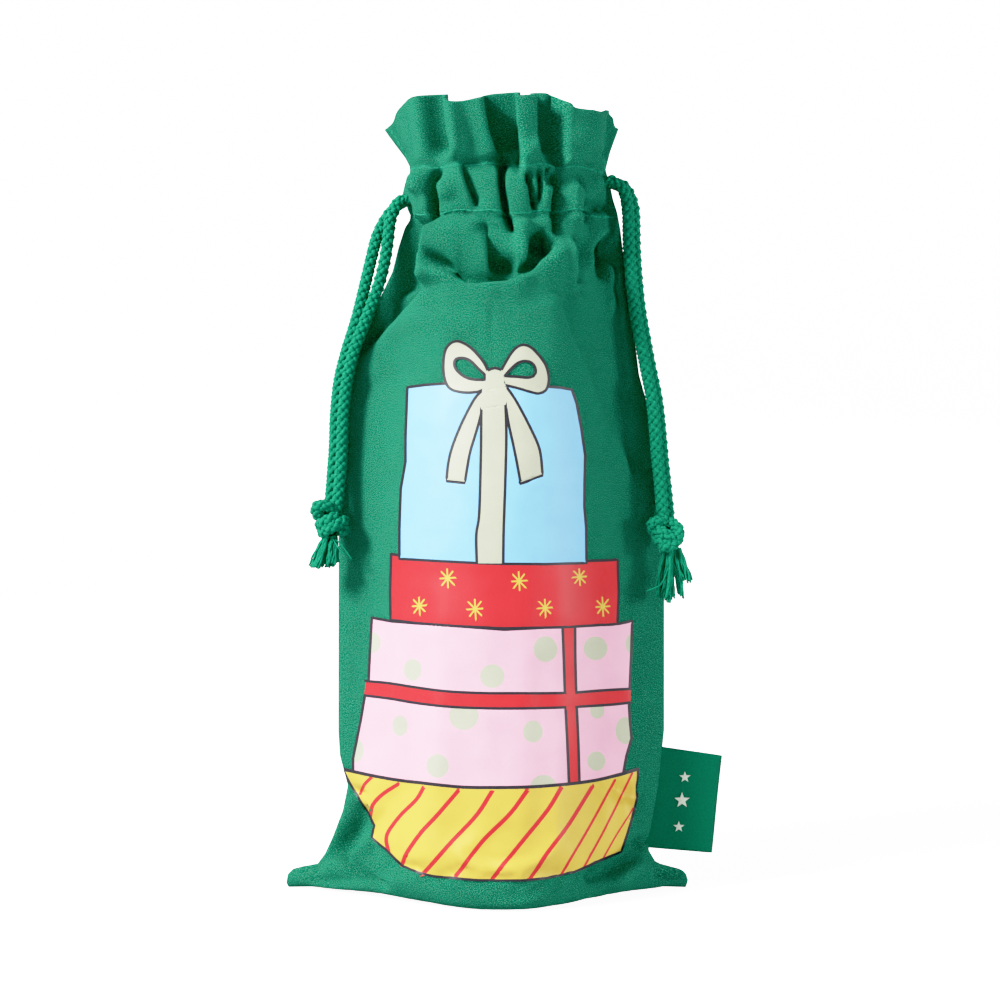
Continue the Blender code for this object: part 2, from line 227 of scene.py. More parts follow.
# The bottle the cloth settles round: radius and height.
BOTTLE_PROFILE = ((0.0, 0.5), (40.0, 0.5), (43.0, 2.0), (43.8, 6.0), (43.8, 150.0),
                  (42.0, 172.0), (37.5, 192.0), (30.0, 213.0), (23.0, 235.0),
                  (18.5, 258.0), (17.0, 330.0), (0.0, 331.0))
SIM_SCALE = 10.0

# Height, left seam x, right seam x, half-width of the round middle, its half-depth.
SHAPE = (
    (0, -86.0, 72.5, 43.0, 43.0),
    (3.5, -85.5, 72.5, 43.3, 43.3),
    (7.5, -81.5, 67.0, 44.0, 44.0),
    (11, -74.5, 60.5, 44.5, 44.5),
    (20, -69.2, 57.8, 45.0, 45.0),
    (31, -65.4, 59.6, 45.0, 45.0),
    (41, -62.2, 61.5, 45.0, 45.0),
    (63, -65.5, 64.0, 45.0, 45.0),
    (155, -66.0, 64.0, 45.0, 45.0),
    (187, -66.0, 59.0, 44.0, 43.5),
    (205, -62.5, 54.0, 42.0, 41.0),
    (217, -58.5, 52.0, 40.0, 39.0),
    (229, -53.5, 51.0, 38.0, 38.0),
    (240, -48.5, 50.5, 37.0, 37.0),
    (250, -43.5, 49.5, 37.0, 36.0),
    (266, -41.0, 44.5, 39.5, 31.0),
    (276, -40.5, 41.5, 39.0, 30.0),
    (286, -41.0, 41.5, 39.0, 30.0),
    (312, -48.0, 45.0, 43.0, 34.5),
)
FINE_COLS = 132           # cells of the finished cloth
FINE_ROWS = 286
# Where the pleats' crests lie across the panels, and how much of the gathers' height
# the starting shape has; the front's own folds are sculpted afterwards.
FRONT_CRESTS = (-84, -66, -47, -27, -8, 9, 24, 42, 60, 72, 84)
BACK_CRESTS = (-84, -69, -51, -36, -18, 0, 17, 36, 52, 68, 84)
FRONT_GATHER = 0.30
BACK_GATHER = 0.9
SEAM_HOLD = 0.25          # how firmly the side seams and the collar keep their place
COLLAR_HOLD = 0.3
SETTLE_FRAMES = 26
SETTLE_GRAVITY = (0.0, 0.0, -18.0)
CLOTH_SETTINGS = {
    "quality": 6, "mass": 0.25, "air_damping": 1.0,
    "tension_stiffness": 25, "compression_stiffness": 25, "shear_stiffness": 12,
    "bending_stiffness": 1.5, "tension_damping": 5, "compression_damping": 5,
    "shear_damping": 5, "bending_damping": 0.5,
    "vertex_group_mass": "pins", "pin_stiffness": 2.0,
}
COLLISION_SETTINGS = {
    "collision_quality": 3, "distance_min": 0.008,
    "use_self_collision": True, "self_distance_min": 0.010,
}
FOLD_GAIN = 2.1           # how much deeper the folds of the neck are than drawn
SHARP_LAP = 2.0           # folds sharper than this also lap over sideways
BACK_DROP = 1.12          # how much lower the back collar's corners hang than the front's
LOWEST = 0.25             # the cloth's middle stays this far above the floor
# Where the front collar's top edge steps down at a pleat: x, how far, how sharply.
COLLAR_STEPS = ((21.8, 3.4, 0.8), (4.3, 1.6, 0.8), (11.5, -1.6, 2.0), (-22.5, 2.2, 1.5),
                (-15.0, -2.2, 3.0))
# Where the two side seams show against the background: height and x.
LEFT_OUTLINE = ((0.2, -86.0), (2.0, -87.0), (5.5, -86.4), (7.6, -84.0), (8.6, -79.5),
                (9.4, -74.6), (13.5, -71.6), (20.0, -68.6), (31.0, -64.4), (41.0, -62.4),
                (53.0, -65.6), (63.0, -66.2), (187.0, -66.0), (205.0, -62.5),
                (217.0, -58.0), (229.0, -53.0), (240.0, -47.4), (246.0, -44.6),
                (256.0, -42.2), (264.0, -39.6), (270.0, -35.6), (273.5, -39.4),
                (277.0, -40.6), (281.5, -39.6), (287.0, -37.0), (292.0, -39.6),
                (304.5, -49.0))
RIGHT_OUTLINE = ((0.2, 72.6), (3.0, 73.6), (6.0, 72.6), (7.8, 69.4), (8.8, 64.4),
                 (10.0, 60.8), (15.0, 57.8), (20.0, 58.0), (41.0, 61.6), (63.0, 64.0),
                 (155.0, 64.0), (187.0, 59.0), (205.0, 54.0), (229.0, 51.0),
                 (242.0, 50.0), (254.0, 47.6), (263.0, 46.6), (270.0, 45.2), (275.0, 43.6),
                 (281.5, 42.2), (287.0, 40.6), (294.0, 42.4), (306.0, 46.8))


# ------------------------------------------------------------------ smooth wrapped shape
def shape_at(z):
    """Left seam, right seam, round half-width and half-depth at each height."""
    table = np.array(SHAPE)
    return [np.interp(z, table[:, 0], table[:, k]) for k in (1, 2, 3, 4)]


def wrap_point(u, z):
    """Where a spot u across the panel lies when the cloth is wrapped smoothly.

    Gives x, depth, outward normal (x and depth parts) and the wrapped half-girth.
    """
    left, right, wide, deep = shape_at(z)
    reach_l = np.maximum(BOTTLE_X - left, wide * 1.0005)
    reach_r = np.maximum(right - BOTTLE_X, wide * 1.0005)
    turn_l = np.arcsin(wide / reach_l)
    turn_r = np.arcsin(wide / reach_r)
    half_l = wide * turn_l + np.sqrt(reach_l ** 2 - wide ** 2)
    half_r = wide * turn_r + np.sqrt(reach_r ** 2 - wide ** 2)
    way = np.where(u < 0, -1.0, 1.0)
    turn = np.where(u < 0, turn_l, turn_r)
    half = np.where(u < 0, half_l, half_r)
    along = np.abs(u) / (PANEL_W / 2) * half
    angle = np.minimum(along / wide, turn)
    rest = np.maximum(along - wide * turn, 0.0)
    out = wide * np.sin(angle) + rest * np.cos(angle)
    depth = (wide * np.cos(angle) - rest * np.sin(angle)) * deep / wide
    return (BOTTLE_X + way * out, np.maximum(depth, 0.0), way * np.sin(angle),
            np.cos(angle), half_l + half_r)


def pleat_wave(u, crests):
    """A wave with its crests at the given places across the panel."""
    turns = np.interp(u, np.array(crests), np.arange(len(crests)))
    return np.cos(2 * pi * turns)


def wrapped_panel(side, crests, gather):
    """One panel's starting points, rows from the bottom seam up, -X to +X."""
    u = np.linspace(-PANEL_W / 2, PANEL_W / 2, COLS + 1)
    points = np.zeros((ROWS + 1, COLS + 1, 3))
    level = np.zeros_like(u)
    base_x, under, _, _, _ = wrap_point(u, level)
    climb = CHANNEL_LOW_Z / (CHANNEL_LOW_V - under)
    top_climb = (CHANNEL_HIGH_Z - CHANNEL_LOW_Z) / (CHANNEL_HIGH_V - CHANNEL_LOW_V)
    seam_x = np.interp(u, (u[0], u[-1]), (base_x[0], base_x[-1]))
    for r in range(ROWS + 1):
        v = PANEL_H * r / ROWS
        z = np.where(v > under, (v - under) * climb, 0.0)
        if v > CHANNEL_LOW_V:
            z = CHANNEL_LOW_Z + (v - CHANNEL_LOW_V) * top_climb + level
        x, depth, nx, nd, girth = wrap_point(u, z)
        slack = np.sqrt(np.maximum(PANEL_W / girth - 1.0, 0.0) * 4.0)
        height = slack * girth / (len(crests) - 1) / (2 * pi) * pleat_wave(u, crests)
        height = height * gather
        share = np.clip(v / np.maximum(under, 1e-6), 0.0, 1.0)
        x = np.where(v < under, seam_x + (base_x - seam_x) * share, x)
        depth = np.where(v < under, v, depth)
        ripple = 1.2 + 1.5 * np.sin(0.11 * u + 3 * side) ** 2
        points[r, :, 0] = x + nx * height
        points[r, :, 1] = side * (depth + nd * height + 0.8)
        points[r, :, 2] = z + np.where(z < 2, ripple * 0.25, 0.0)
    return points


# ------------------------------------------------------------------ cloth simulation
def bag_mesh():
    """Front and back panels as one mesh, sewn along the sides and the bottom.

    Above the channel's lower stitches the sides stay open as slits.
    """
    front = wrapped_panel(-1, FRONT_CRESTS, FRONT_GATHER)
    back = wrapped_panel(1, BACK_CRESTS, BACK_GATHER)
    index = {}
    points = []
    flat = []
    for side, grid in ((0, front), (1, back)):
        for r in range(ROWS + 1):
            v = PANEL_H * r / ROWS
            for c in range(COLS + 1):
                sewn = r == 0 or (c in (0, COLS) and v < CHANNEL_LOW_V - 2)
                if side and sewn:
                    index[side, r, c] = index[0, r, c]
                    continue
                index[side, r, c] = len(points)
                place = grid[r, c].copy()
                if sewn:
                    place[1] = 0.0
                points.append(place)
                flat.append((PANEL_W * (c / COLS - 0.5), -0.3 + 0.6 * side, v))
    faces = []
    for side in (0, 1):
        for r in range(ROWS):
            for c in range(COLS):
                quad = (index[side, r, c], index[side, r, c + 1],
                        index[side, r + 1, c + 1], index[side, r + 1, c])
                faces.append(quad if side == 0 else quad[::-1])
    return np.array(points), np.array(flat), faces, index


def plain_object(name, points, faces):
    """A bare mesh for the simulation."""
    mesh = bpy.data.meshes.new(name)
    mesh.from_pydata([tuple(p) for p in points], [], faces)
    return new_object(name, mesh)


def solid_for_cloth(thing, gap):
    """Make an object stop the cloth at a small gap."""
    thing.modifiers.new("collision", "COLLISION")
    thing.collision.thickness_outer = gap
    return thing


def ring_faces(rings, sides):
    """Faces between closed rings of points that are numbered ring after ring."""
    return [(r * sides + k, r * sides + (k + 1) % sides,
             (r + 1) * sides + (k + 1) % sides, (r + 1) * sides + k)
            for r in range(rings - 1) for k in range(sides)]


def bottle_collider():
    """The bottle that fills the bag while its cloth settles; it is removed after."""
    points = [(BOTTLE_X + radius * cos(turn), radius * sin(turn), z)
              for radius, z in BOTTLE_PROFILE
              for turn in (2 * pi * k / BOTTLE_SIDES for k in range(BOTTLE_SIDES))]
    return plain_object("temporary_bottle", np.array(points) * MM * SIM_SCALE,
                        ring_faces(len(BOTTLE_PROFILE), BOTTLE_SIDES))


def cloth_to_settle(points, flat, faces, index):
    """The sewn bag at the simulation's scale, with its flat pattern and its pins."""
    cloth = plain_object("temporary_cloth", points * MM * SIM_SCALE, faces)
    cloth.shape_key_add(name="Basis")
    rest = cloth.shape_key_add(name="flat")
    for k, place in enumerate(flat):
        rest.data[k].co = tuple(place * MM * SIM_SCALE)
    pins = cloth.vertex_groups.new(name="pins")
    for (_, r, c), k in index.items():
        v = PANEL_H * r / ROWS
        if CHANNEL_LOW_V <= v <= CHANNEL_HIGH_V or r == 0:
            pins.add([k], 1.0, "REPLACE")
        elif v > CHANNEL_HIGH_V:
            pins.add([k], COLLAR_HOLD, "REPLACE")
        elif c in (0, COLS):
            pins.add([k], SEAM_HOLD, "REPLACE")
    solver = cloth.modifiers.new("cloth", "CLOTH")
    for name, value in CLOTH_SETTINGS.items():
        setattr(solver.settings, name, value)
    for name, value in COLLISION_SETTINGS.items():
        setattr(solver.collision_settings, name, value)
    solver.settings.rest_shape_key = rest
    solver.point_cache.frame_start = 1
    solver.point_cache.frame_end = SETTLE_FRAMES
    return cloth


def settle_bag():
    """Let the bag's cloth settle round the bottle, and give both panels' points in mm.

    The solver works at ten times the real size, where its collision gap is fine enough.
    """
    points, flat, faces, index = bag_mesh()
    cloth = cloth_to_settle(points, flat, faces, index)
    bottle = solid_for_cloth(bottle_collider(), 0.006)
    ground = solid_for_cloth(plain_object("temporary_ground", [
        (-3, -3, 0), (3, -3, 0), (3, 3, 0), (-3, 3, 0)], [(0, 1, 2, 3)]), 0.004)
    scene = bpy.context.scene
    gravity = scene.gravity.copy()
    scene.gravity = SETTLE_GRAVITY
    for number in range(1, SETTLE_FRAMES + 1):
        scene.frame_set(number)
    graph = bpy.context.evaluated_depsgraph_get()
    settled = cloth.evaluated_get(graph).to_mesh()
    coords = np.empty(len(settled.vertices) * 3)
    settled.vertices.foreach_get("co", coords)
    settled_points = coords.reshape(-1, 3) / (MM * SIM_SCALE)
    scene.frame_set(1)
    scene.gravity = gravity
    for thing in (cloth, bottle, ground):
        mesh = thing.data
        bpy.data.objects.remove(thing, do_unlink=True)
        bpy.data.meshes.remove(mesh)
    grids = np.zeros((2, ROWS + 1, COLS + 1, 3))
    for (side, r, c), k in index.items():
        grids[side, r, c] = settled_points[k]
    return grids


def finer(grid, axis, count):
    """A grid of points read at more places along one axis, on a smooth curve."""
    grid = np.moveaxis(grid, axis, 0)
    last = grid.shape[0] - 1
    padded = np.concatenate([2 * grid[:1] - grid[1:2], grid, 2 * grid[-1:] - grid[-2:-1]])
    where = np.linspace(0.0, last, count + 1)
    start = np.minimum(where.astype(int), last - 1)
    t = (where - start).reshape((-1,) + (1,) * (grid.ndim - 1))
    p0, p1, p2, p3 = (padded[start + k] for k in range(4))
    made = 0.5 * (2 * p1 + (p2 - p0) * t + (2 * p0 - 5 * p1 + 4 * p2 - p3) * t ** 2
                  + (3 * p1 - p0 - 3 * p2 + p3) * t ** 3)
    return np.moveaxis(made, 0, axis)


# ------------------------------------------------------------------ sculpted folds
# Each crease is a route over the front in X and Z, then what it does to the cloth.
# A ridge stands proud (or, negative, sinks) with a soft width.  An edge is a fold with
# one proud and one sunk side: proud height and reach, sunk depth and reach, sharpness.
RIDGES = (
    # collar
    (((-29, 312), (-27, 300), (-24.5, 287)), 3.4, -4.2),
    (((-20, 311), (-18.5, 300), (-17.5, 287)), 3.0, 2.4),
    (((33, 308), (32, 290)), 7.0, 2.0),
    (((41, 308), (38.5, 290)), 2.4, -2.0),
    # channel pleats
    (((-26, 287), (-27.5, 275), (-28.8, 262)), 1.5, -4.2),
    (((-33, 286), (-34, 274)), 3.0, 2.2),
    (((-22.5, 282), (-21, 270)), 2.4, 1.8),
    (((-0.6, 290), (-0.9, 278), (0.6, 267), (3.6, 258)), 1.1, -4.8),
    (((8.5, 285), (10, 276), (12.3, 266)), 0.95, -4.2),
    (((12.8, 285), (14.0, 277), (13.4, 269)), 0.9, -3.2),
    (((16.8, 286), (17.3, 276)), 1.0, -3.2),
    (((20.2, 286), (20, 272), (20.8, 257)), 1.2, -5.0),
    (((28.5, 283), (30, 275)), 1.0, -3.8),
    (((25, 281), (27, 268), (30, 261)), 3.0, 2.2),
    (((32, 274), (31.5, 263)), 1.6, -3.2),
    (((36, 285), (37, 275)), 2.2, 1.8),
    (((31, 268.5), (37, 271.4), (43, 271)), 2.0, -3.0),
    (((40, 262), (43, 247)), 4.6, -2.2),
    (((-38, 268.4), (-10, 265.6), (20, 266), (38, 268)), 0.9, -0.8),
    (((-38, 286.6), (-10, 287), (10, 287), (38, 286.4)), 0.9, -0.8),
    (((-38, 277), (0, 276.5), (38, 277)), 5.5, 0.7),
    # below the channel
    (((-11, 265), (-4, 254), (1, 243)), 3.4, -3.6),
    (((0, 252), (0, 243)), 3.8, -1.6),
    (((6.4, 267), (7, 255), (7, 244)), 2.4, 2.6),
    (((12.8, 262), (14, 250)), 3.4, -3.4),
    (((-31, 254), (-23, 246.6), (-13, 239.6)), 2.0, -2.4),
    (((36.5, 266), (35, 251), (30, 241), (24, 236)), 3.2, 2.2),
    (((40.4, 264), (43, 248), (44.4, 226)), 1.8, 0.9),
    (((40.4, 262), (41, 240)), 1.6, -2.2),
    # body
    (((-4.4, 234), (-4.6, 222), (-5.0, 206)), 1.2, -0.5),
    (((-50, 222), (-30, 226), (-8, 222)), 5.0, 0.8),
    (((-60, 196), (-44, 204), (-30, 207)), 4.0, -0.9),
    (((52, 204), (42, 188), (36, 168)), 5.0, -1.8),
    (((56, 176), (48, 160), (44, 140)), 4.0, -0.8),
    (((-64, 150), (-55, 135), (-50, 110)), 5.0, -0.6),
    (((62, 120), (52, 100), (50, 76)), 5.0, -0.7),
    # pulls that run up from the bottom corners
    (((-80, 8), (-64, 16), (-46, 33), (-34, 50)), 3.0, -1.2),
    (((-78, 3), (-60, 7), (-44, 14), (-30, 18)), 2.4, -1.2),
    (((-63, 41.5), (-58, 39), (-53, 40)), 2.0, -1.2),
    (((-56, 37), (-59, 28), (-65, 20), (-71, 15)), 3.2, -3.2),
    (((-66, 16), (-55, 9), (-44, 4.5)), 2.0, -1.8),
    (((-76, 10), (-62, 12), (-50, 24)), 2.6, 1.6),
    (((62, 20), (52, 17), (42, 12), (30, 9)), 3.0, -3.0),
    (((60, 27), (54, 30), (48, 40)), 2.4, 1.5),
    (((58, 11), (50, 10), (40, 6)), 2.2, 1.5),
    (((59, 7.5), (66, 5.6), (71, 4.0)), 1.1, -2.2),
    (((58, 34), (50, 37), (42, 46)), 2.8, -1.4),
)
EDGES = (
    # collar
    (((-8.5, 312), (-6, 299), (-3.5, 292), (-0.6, 286)), "left", 2.4, 6, 5.0, 9, 1.4),
    (((4.0, 312), (5, 300), (6.5, 290), (7.4, 281)), "right", 3.4, 8, 4.8, 9, 0.9),
    (((11.8, 312), (12.4, 298), (15.2, 286)), "left", 1.8, 5, 4.2, 6, 1.1),
    (((21.6, 312), (21.6, 296), (22, 283)), "right", 4.4, 12, 3.6, 5, 0.8),
    # channel
    (((-18, 288), (-15, 278), (-10.5, 267)), "left", 2.2, 5, 3.4, 2.6, 0.9),
    # below the channel: the bib and its swag
    (((-28, 267), (-30, 258), (-32, 250), (-31.5, 243), (-31, 237.5)),
     "right", 3.6, 18, 7.5, 10, 1.2),
    (((-30, 249), (-22.7, 244.6), (-13, 238.9), (0.8, 240), (10.4, 244), (17.7, 251.5),
      (20, 258)), "left", 2.4, 9, 5.0, 6.5, 1.2),
    (((26.5, 259), (26.8, 247), (26, 237)), "left", 2.6, 8, 5.5, 8, 1.2),
    (((-30, 239), (-42, 227), (-52, 218), (-62, 208)), "right", 1.8, 14, 6.0, 9, 2.2),
    (((21, 237), (26, 221), (34, 203), (44, 182), (53, 162)), "left", 1.2, 15, 4.8, 13, 3.2),
)


def along_route(x, z, route):
    """Signed distance, positive to the right of the way along; how far along; length.

    Also gives the direction in X and Z that points to that right-hand side.
    """
    route = [np.array(p, float) for p in route]
    lengths = [float(np.linalg.norm(b - a)) for a, b in zip(route, route[1:])]
    best = np.full(x.shape, 1e9)
    signed, share, right_x, right_z = (np.zeros_like(x) for _ in range(4))
    done = 0.0
    for a, b, length in zip(route, route[1:], lengths):
        way = (b - a) / length
        t = np.clip((x - a[0]) * way[0] + (z - a[1]) * way[1], 0.0, length)
        dx = x - (a[0] + way[0] * t)
        dz = z - (a[1] + way[1] * t)
        away = np.hypot(dx, dz)
        side = np.where(way[1] * dx - way[0] * dz >= 0, 1.0, -1.0)
        closer = away < best
        best = np.where(closer, away, best)
        signed = np.where(closer, side * away, signed)
        share = np.where(closer, (done + t) / sum(lengths), share)
        right_x = np.where(closer, way[1], right_x)
        right_z = np.where(closer, -way[0], right_z)
        done += length
    return signed, share, sum(lengths), right_x, right_z


def fade_ends(share, total, keep_top):
    """Let a crease die away over its last few millimetres at each end."""
    reach = min(0.35, 6.0 / total)
    start = np.clip(share / reach, 0.0, 1.0)
    end = np.clip((1 - share) / reach, 0.0, 1.0)
    start = 1.0 if keep_top else start * start * (3 - 2 * start)
    return start * end * end * (3 - 2 * end)


def sculpt(x, z):
    """How far the front cloth stands proud, and how its folds lap in X and Z, in mm."""
    height, lap_x, lap_z = (np.zeros_like(x) for _ in range(3))
    for route, width, rise in RIDGES:
        signed, share, total, _, _ = along_route(x, z, route)
        keep = fade_ends(share, total, route[0][1] > 305)
        height += rise * np.exp(-(signed / width) ** 2) * keep
    for route, proud_side, proud, proud_reach, sunk, sunk_reach, sharp in EDGES:
        signed, share, total, right_x, right_z = along_route(x, z, route)
        keep = fade_ends(share, total, route[0][1] > 305)
        hand = -1.0 if proud_side == "right" else 1.0
        toward = signed * hand
        rise = np.where(toward > 0, proud * np.exp(-np.abs(toward) / proud_reach),
                        sunk * np.exp(-np.abs(toward) / sunk_reach))
        turn = np.tanh(toward / sharp)
        height += turn * rise * keep
        if sharp < SHARP_LAP:
            lap = -turn * np.exp(-np.abs(toward) / 3.0) * keep * hand
            lap *= min(1.9, 0.26 * (proud + sunk))
            lap_x += lap * right_x
            lap_z += lap * right_z
    gain = 1.0 + (FOLD_GAIN - 1.0) * (share_of(z, 205.0, 235.0) + share_of(z, 62.0, 47.0))
    printed = share_of(np.abs(x + 6.0), 46.0, 38.0) * share_of(z, 12.0, 18.0)
    gain = gain * (1.0 - 0.8 * printed * share_of(z, 66.0, 58.0))
    in_channel = np.exp(-((z - 276.0) / 11.0) ** 2)
    return height * (gain + 0.1 * in_channel), lap_x, lap_z


def soft_noise(x, z, scale, seed):
    """Gentle unevenness, the same every time."""
    out = np.zeros(x.size)
    for k, (a, b) in enumerate(zip(x.ravel(), z.ravel())):
        out[k] = noise.noise(Vector((a / scale, b / scale, seed)))
    return out.reshape(x.shape)


# ------------------------------------------------------------------ node helpers
def add_node(tree, kind, links=None, **settings):
    """A shader node with its settings, and its inputs set or linked by name or place."""
    made = tree.nodes.new(kind)
    for name, value in settings.items():
        setattr(made, name, value)
    for key, value in (links or {}).items():
        socket = made.inputs[key]
        if isinstance(value, bpy.types.NodeSocket):
            tree.links.new(value, socket)
        else:
            socket.default_value = value
    return made


def math_node(tree, operation, first, second=0.0):
    """One arithmetic node's result."""
    return add_node(tree, "ShaderNodeMath", {0: first, 1: second},
                    operation=operation).outputs[0]


def plus(tree, first, second):
    """The sum of two sockets or numbers."""
    return math_node(tree, "ADD", first, second)


def times(tree, first, second):
    """The product of two sockets or numbers."""
    return math_node(tree, "MULTIPLY", first, second)


def add_bump(tree, shader, height, strength, distance):
    """Let a height roughen the shader's surface."""
    bump = add_node(tree, "ShaderNodeBump", {"Strength": strength, "Distance": distance,
                    "Height": height})
    tree.links.new(bump.outputs[0], shader.inputs["Normal"])


def mix_colours(tree, share, first, second):
    """From the first colour at share 0 to the second at share 1."""
    made = add_node(tree, "ShaderNodeMix", {"Factor": share, 6: first, 7: second},
                    data_type="RGBA")
    return made.outputs[2]


def ramp(tree, value, low, high):
    """A value spread out so that low gives 0 and high gives 1."""
    return add_node(tree, "ShaderNodeMapRange", {0: value, 1: low, 2: high}).outputs[0]


def in_mm(tree, vector):
    """A vector in metres turned to millimetres."""
    return add_node(tree, "ShaderNodeVectorMath", {0: vector, 1: (1000.0, 1000.0, 1000.0)},
                    operation="MULTIPLY").outputs[0]


def flat_mm(tree):
    """Cloth coordinates in millimetres, from the flat pattern's UV map."""
    return in_mm(tree, add_node(tree, "ShaderNodeUVMap", uv_map="flat").outputs[0])


def object_mm(tree):
    """Coordinates in millimetres, carried by the object."""
    return in_mm(tree, add_node(tree, "ShaderNodeTexCoord").outputs["Object"])


def noise_value(tree, vector, scale, detail=2.0, rough=0.5):
    """Smooth noise; its scale is in waves per millimetre."""
    return add_node(tree, "ShaderNodeTexNoise", {"Vector": vector, "Scale": scale,
                    "Detail": detail, "Roughness": rough}).outputs["Fac"]


def twill_height(tree, vector):
    """Diagonal ribs of a cotton twill crossed by its weft, about 0.7 mm apart."""
    split = add_node(tree, "ShaderNodeSeparateXYZ", {0: vector})
    across, up = split.outputs[0], split.outputs[1]
    wander = noise_value(tree, vector, 0.35, 2.0)
    slant = plus(tree, times(tree, across, 6.6), times(tree, up, 8.4))
    slant = plus(tree, slant, times(tree, wander, 9.0))
    ribs = math_node(tree, "SINE", slant)
    weft = math_node(tree, "SINE", times(tree, up, 15.0))
    return plus(tree, times(tree, ribs, 0.6), times(tree, weft, 0.25))


def cotton_material(name, vector_from, fluff_sheen_share):
    """Peached cotton: twill ribs, mottled dye, and pale fluffy specks that are partly the
    fibres' own tone and partly painted sheen.
    """
    finish, tree, shader = new_material(name)
    vector = vector_from(tree)
    weave = twill_height(tree, vector)
    fibre = noise_value(tree, vector, 1.9, 4.0, 0.8)
    speck = noise_value(tree, vector, 2.7, 3.0, 0.8)
    cloudy = noise_value(tree, vector, 0.06, 3.0, 0.6)
    tone = plus(tree, times(tree, weave, 0.10),
                times(tree, ramp(tree, fibre, 0.40, 0.60), 0.75))
    tone = plus(tree, tone, times(tree, cloudy, 0.30))
    base = mix_colours(tree, tone, COTTON_DARK, COTTON_LIGHT)
    # pale specks mixed into the colour: partly the fibres' own tone, partly painted sheen
    fluff_sheen = times(tree, ramp(tree, speck, 0.51, 0.59), fluff_sheen_share)
    tree.links.new(mix_colours(tree, fluff_sheen, base, COTTON_FLUFF_SHEEN),
                   shader.inputs["Base Color"])
    set_inputs(shader, {"Roughness": 0.95, "Specular IOR Level": 0.03,
                        "Sheen Weight": 0.12, "Sheen Roughness": 0.5,
                        "Sheen Tint": (0.12, 0.90, 0.58, 1.0)})
    rough = plus(tree, times(tree, weave, 0.35), times(tree, fibre, 1.8))
    add_bump(tree, shader, rough, 0.9, 0.0006)
    return finish


def film_material(name, colour):
    """Heat-transfer film: smooth colour with the twill telegraphing through."""
    finish, tree, shader = new_material(name)
    vector = flat_mm(tree)
    weave = twill_height(tree, vector)
    patchy = noise_value(tree, vector, 0.08, 3.0)
    grain = noise_value(tree, vector, 1.6, 3.0, 0.65)
    darker = tuple(c * 0.9 for c in colour[:3]) + (1.0,)
    tone = plus(tree, times(tree, patchy, 0.6), times(tree, grain, 0.4))
    tree.links.new(mix_colours(tree, ramp(tree, tone, 0.35, 0.65), darker, colour),
                   shader.inputs["Base Color"])
    wear = times(tree, ramp(tree, grain, 0.0, 1.0), 0.16)
    tree.links.new(plus(tree, wear, FILM_ROUGHNESS), shader.inputs["Roughness"])
    set_inputs(shader, {"Specular IOR Level": 0.42})
    add_bump(tree, shader, plus(tree, times(tree, weave, 0.5), grain), 0.3, 0.0001)
    return finish


def yarn_material(name, dark, light):
    """Soft cotton yarn: fine fibres along it, pale tips and deep gaps."""
    finish, tree, shader = new_material(name)
    vector = object_mm(tree)
    fibre = noise_value(tree, vector, 3.2, 4.0, 0.7)
    mottled = noise_value(tree, vector, 0.5, 2.0)
    tone = plus(tree, times(tree, ramp(tree, fibre, 0.3, 0.72), 0.75),
                times(tree, mottled, 0.25))
    tree.links.new(mix_colours(tree, tone, dark, light), shader.inputs["Base Color"])
    set_inputs(shader, {"Roughness": 0.88, "Specular IOR Level": 0.1,
                        "Sheen Weight": 0.15, "Sheen Roughness": 0.4,
                        "Sheen Tint": (0.2, 0.85, 0.60, 1.0)})
    add_bump(tree, shader, fibre, 0.6, 0.0002)
    return finish


def satin_material():
    """Woven satin ribbon: close crosswise threads with a soft directional gloss."""
    finish, tree, shader = new_material("label_satin")
    vector = flat_mm(tree)
    split = add_node(tree, "ShaderNodeSeparateXYZ", {0: vector})
    threads = math_node(tree, "SINE", times(tree, split.outputs[1], 21.0))
    floats = noise_value(tree, vector, 1.4, 3.0, 0.6)
    tone = plus(tree, times(tree, threads, 0.12), floats)
    tree.links.new(mix_colours(tree, ramp(tree, tone, 0.2, 0.8), SATIN_DARK, SATIN_LIGHT),
                   shader.inputs["Base Color"])
    set_inputs(shader, {"Roughness": 0.5, "Specular IOR Level": 0.12,
                        "Anisotropic": 0.4})
    add_bump(tree, shader, plus(tree, threads, floats), 0.35, 0.0001)
    return finish


# ------------------------------------------------------------------ finished cloth
def share_of(value, low, high):
    """0 at low, 1 at high, and in between on the way; low may be the larger."""
    return np.clip((value - low) / (high - low), 0.0, 1.0)


def settled_panels():
    """Both panels' finished grids: settled, made finer, then sculpted and unevened."""
    grids = np.array([wrapped_panel(-1, FRONT_CRESTS, FRONT_GATHER),
                      wrapped_panel(1, BACK_CRESTS, BACK_GATHER)])
    firm = seam_firmness()
    grids = settle_bag() * (1 - firm) + grids * firm
    grids[0] = level_out(grids[0], (112.0, 128.0, 228.0, 250.0), 3)
    for side in (0, 1):
        grids[side] = level_out(grids[side], (-9.0, -8.0, 4.0, 12.0), 2)
    fine = finer(finer(grids, 1, FINE_ROWS), 2, FINE_COLS)
    for side in (0, 1):
        fine[side] = sculpted_panel(fine[side], side)
    fine[..., 2] = np.maximum(fine[..., 2], LOWEST)
    return fine


def seam_firmness():
    """How far the cloth near the side seams and bottom corners keeps its wrapped shape."""
    side = np.abs(np.linspace(-1.0, 1.0, COLS + 1))[None, :]
    up = np.linspace(0.0, PANEL_H, ROWS + 1)[:, None]
    seams = share_of(side, 0.55, 1.0) ** 1.5 * 0.85 * share_of(up, 305.0, 285.0)
    corners = share_of(up, 45.0, 15.0) * share_of(side, 0.5, 0.8) * 0.9
    return np.maximum(seams, corners)[..., None]


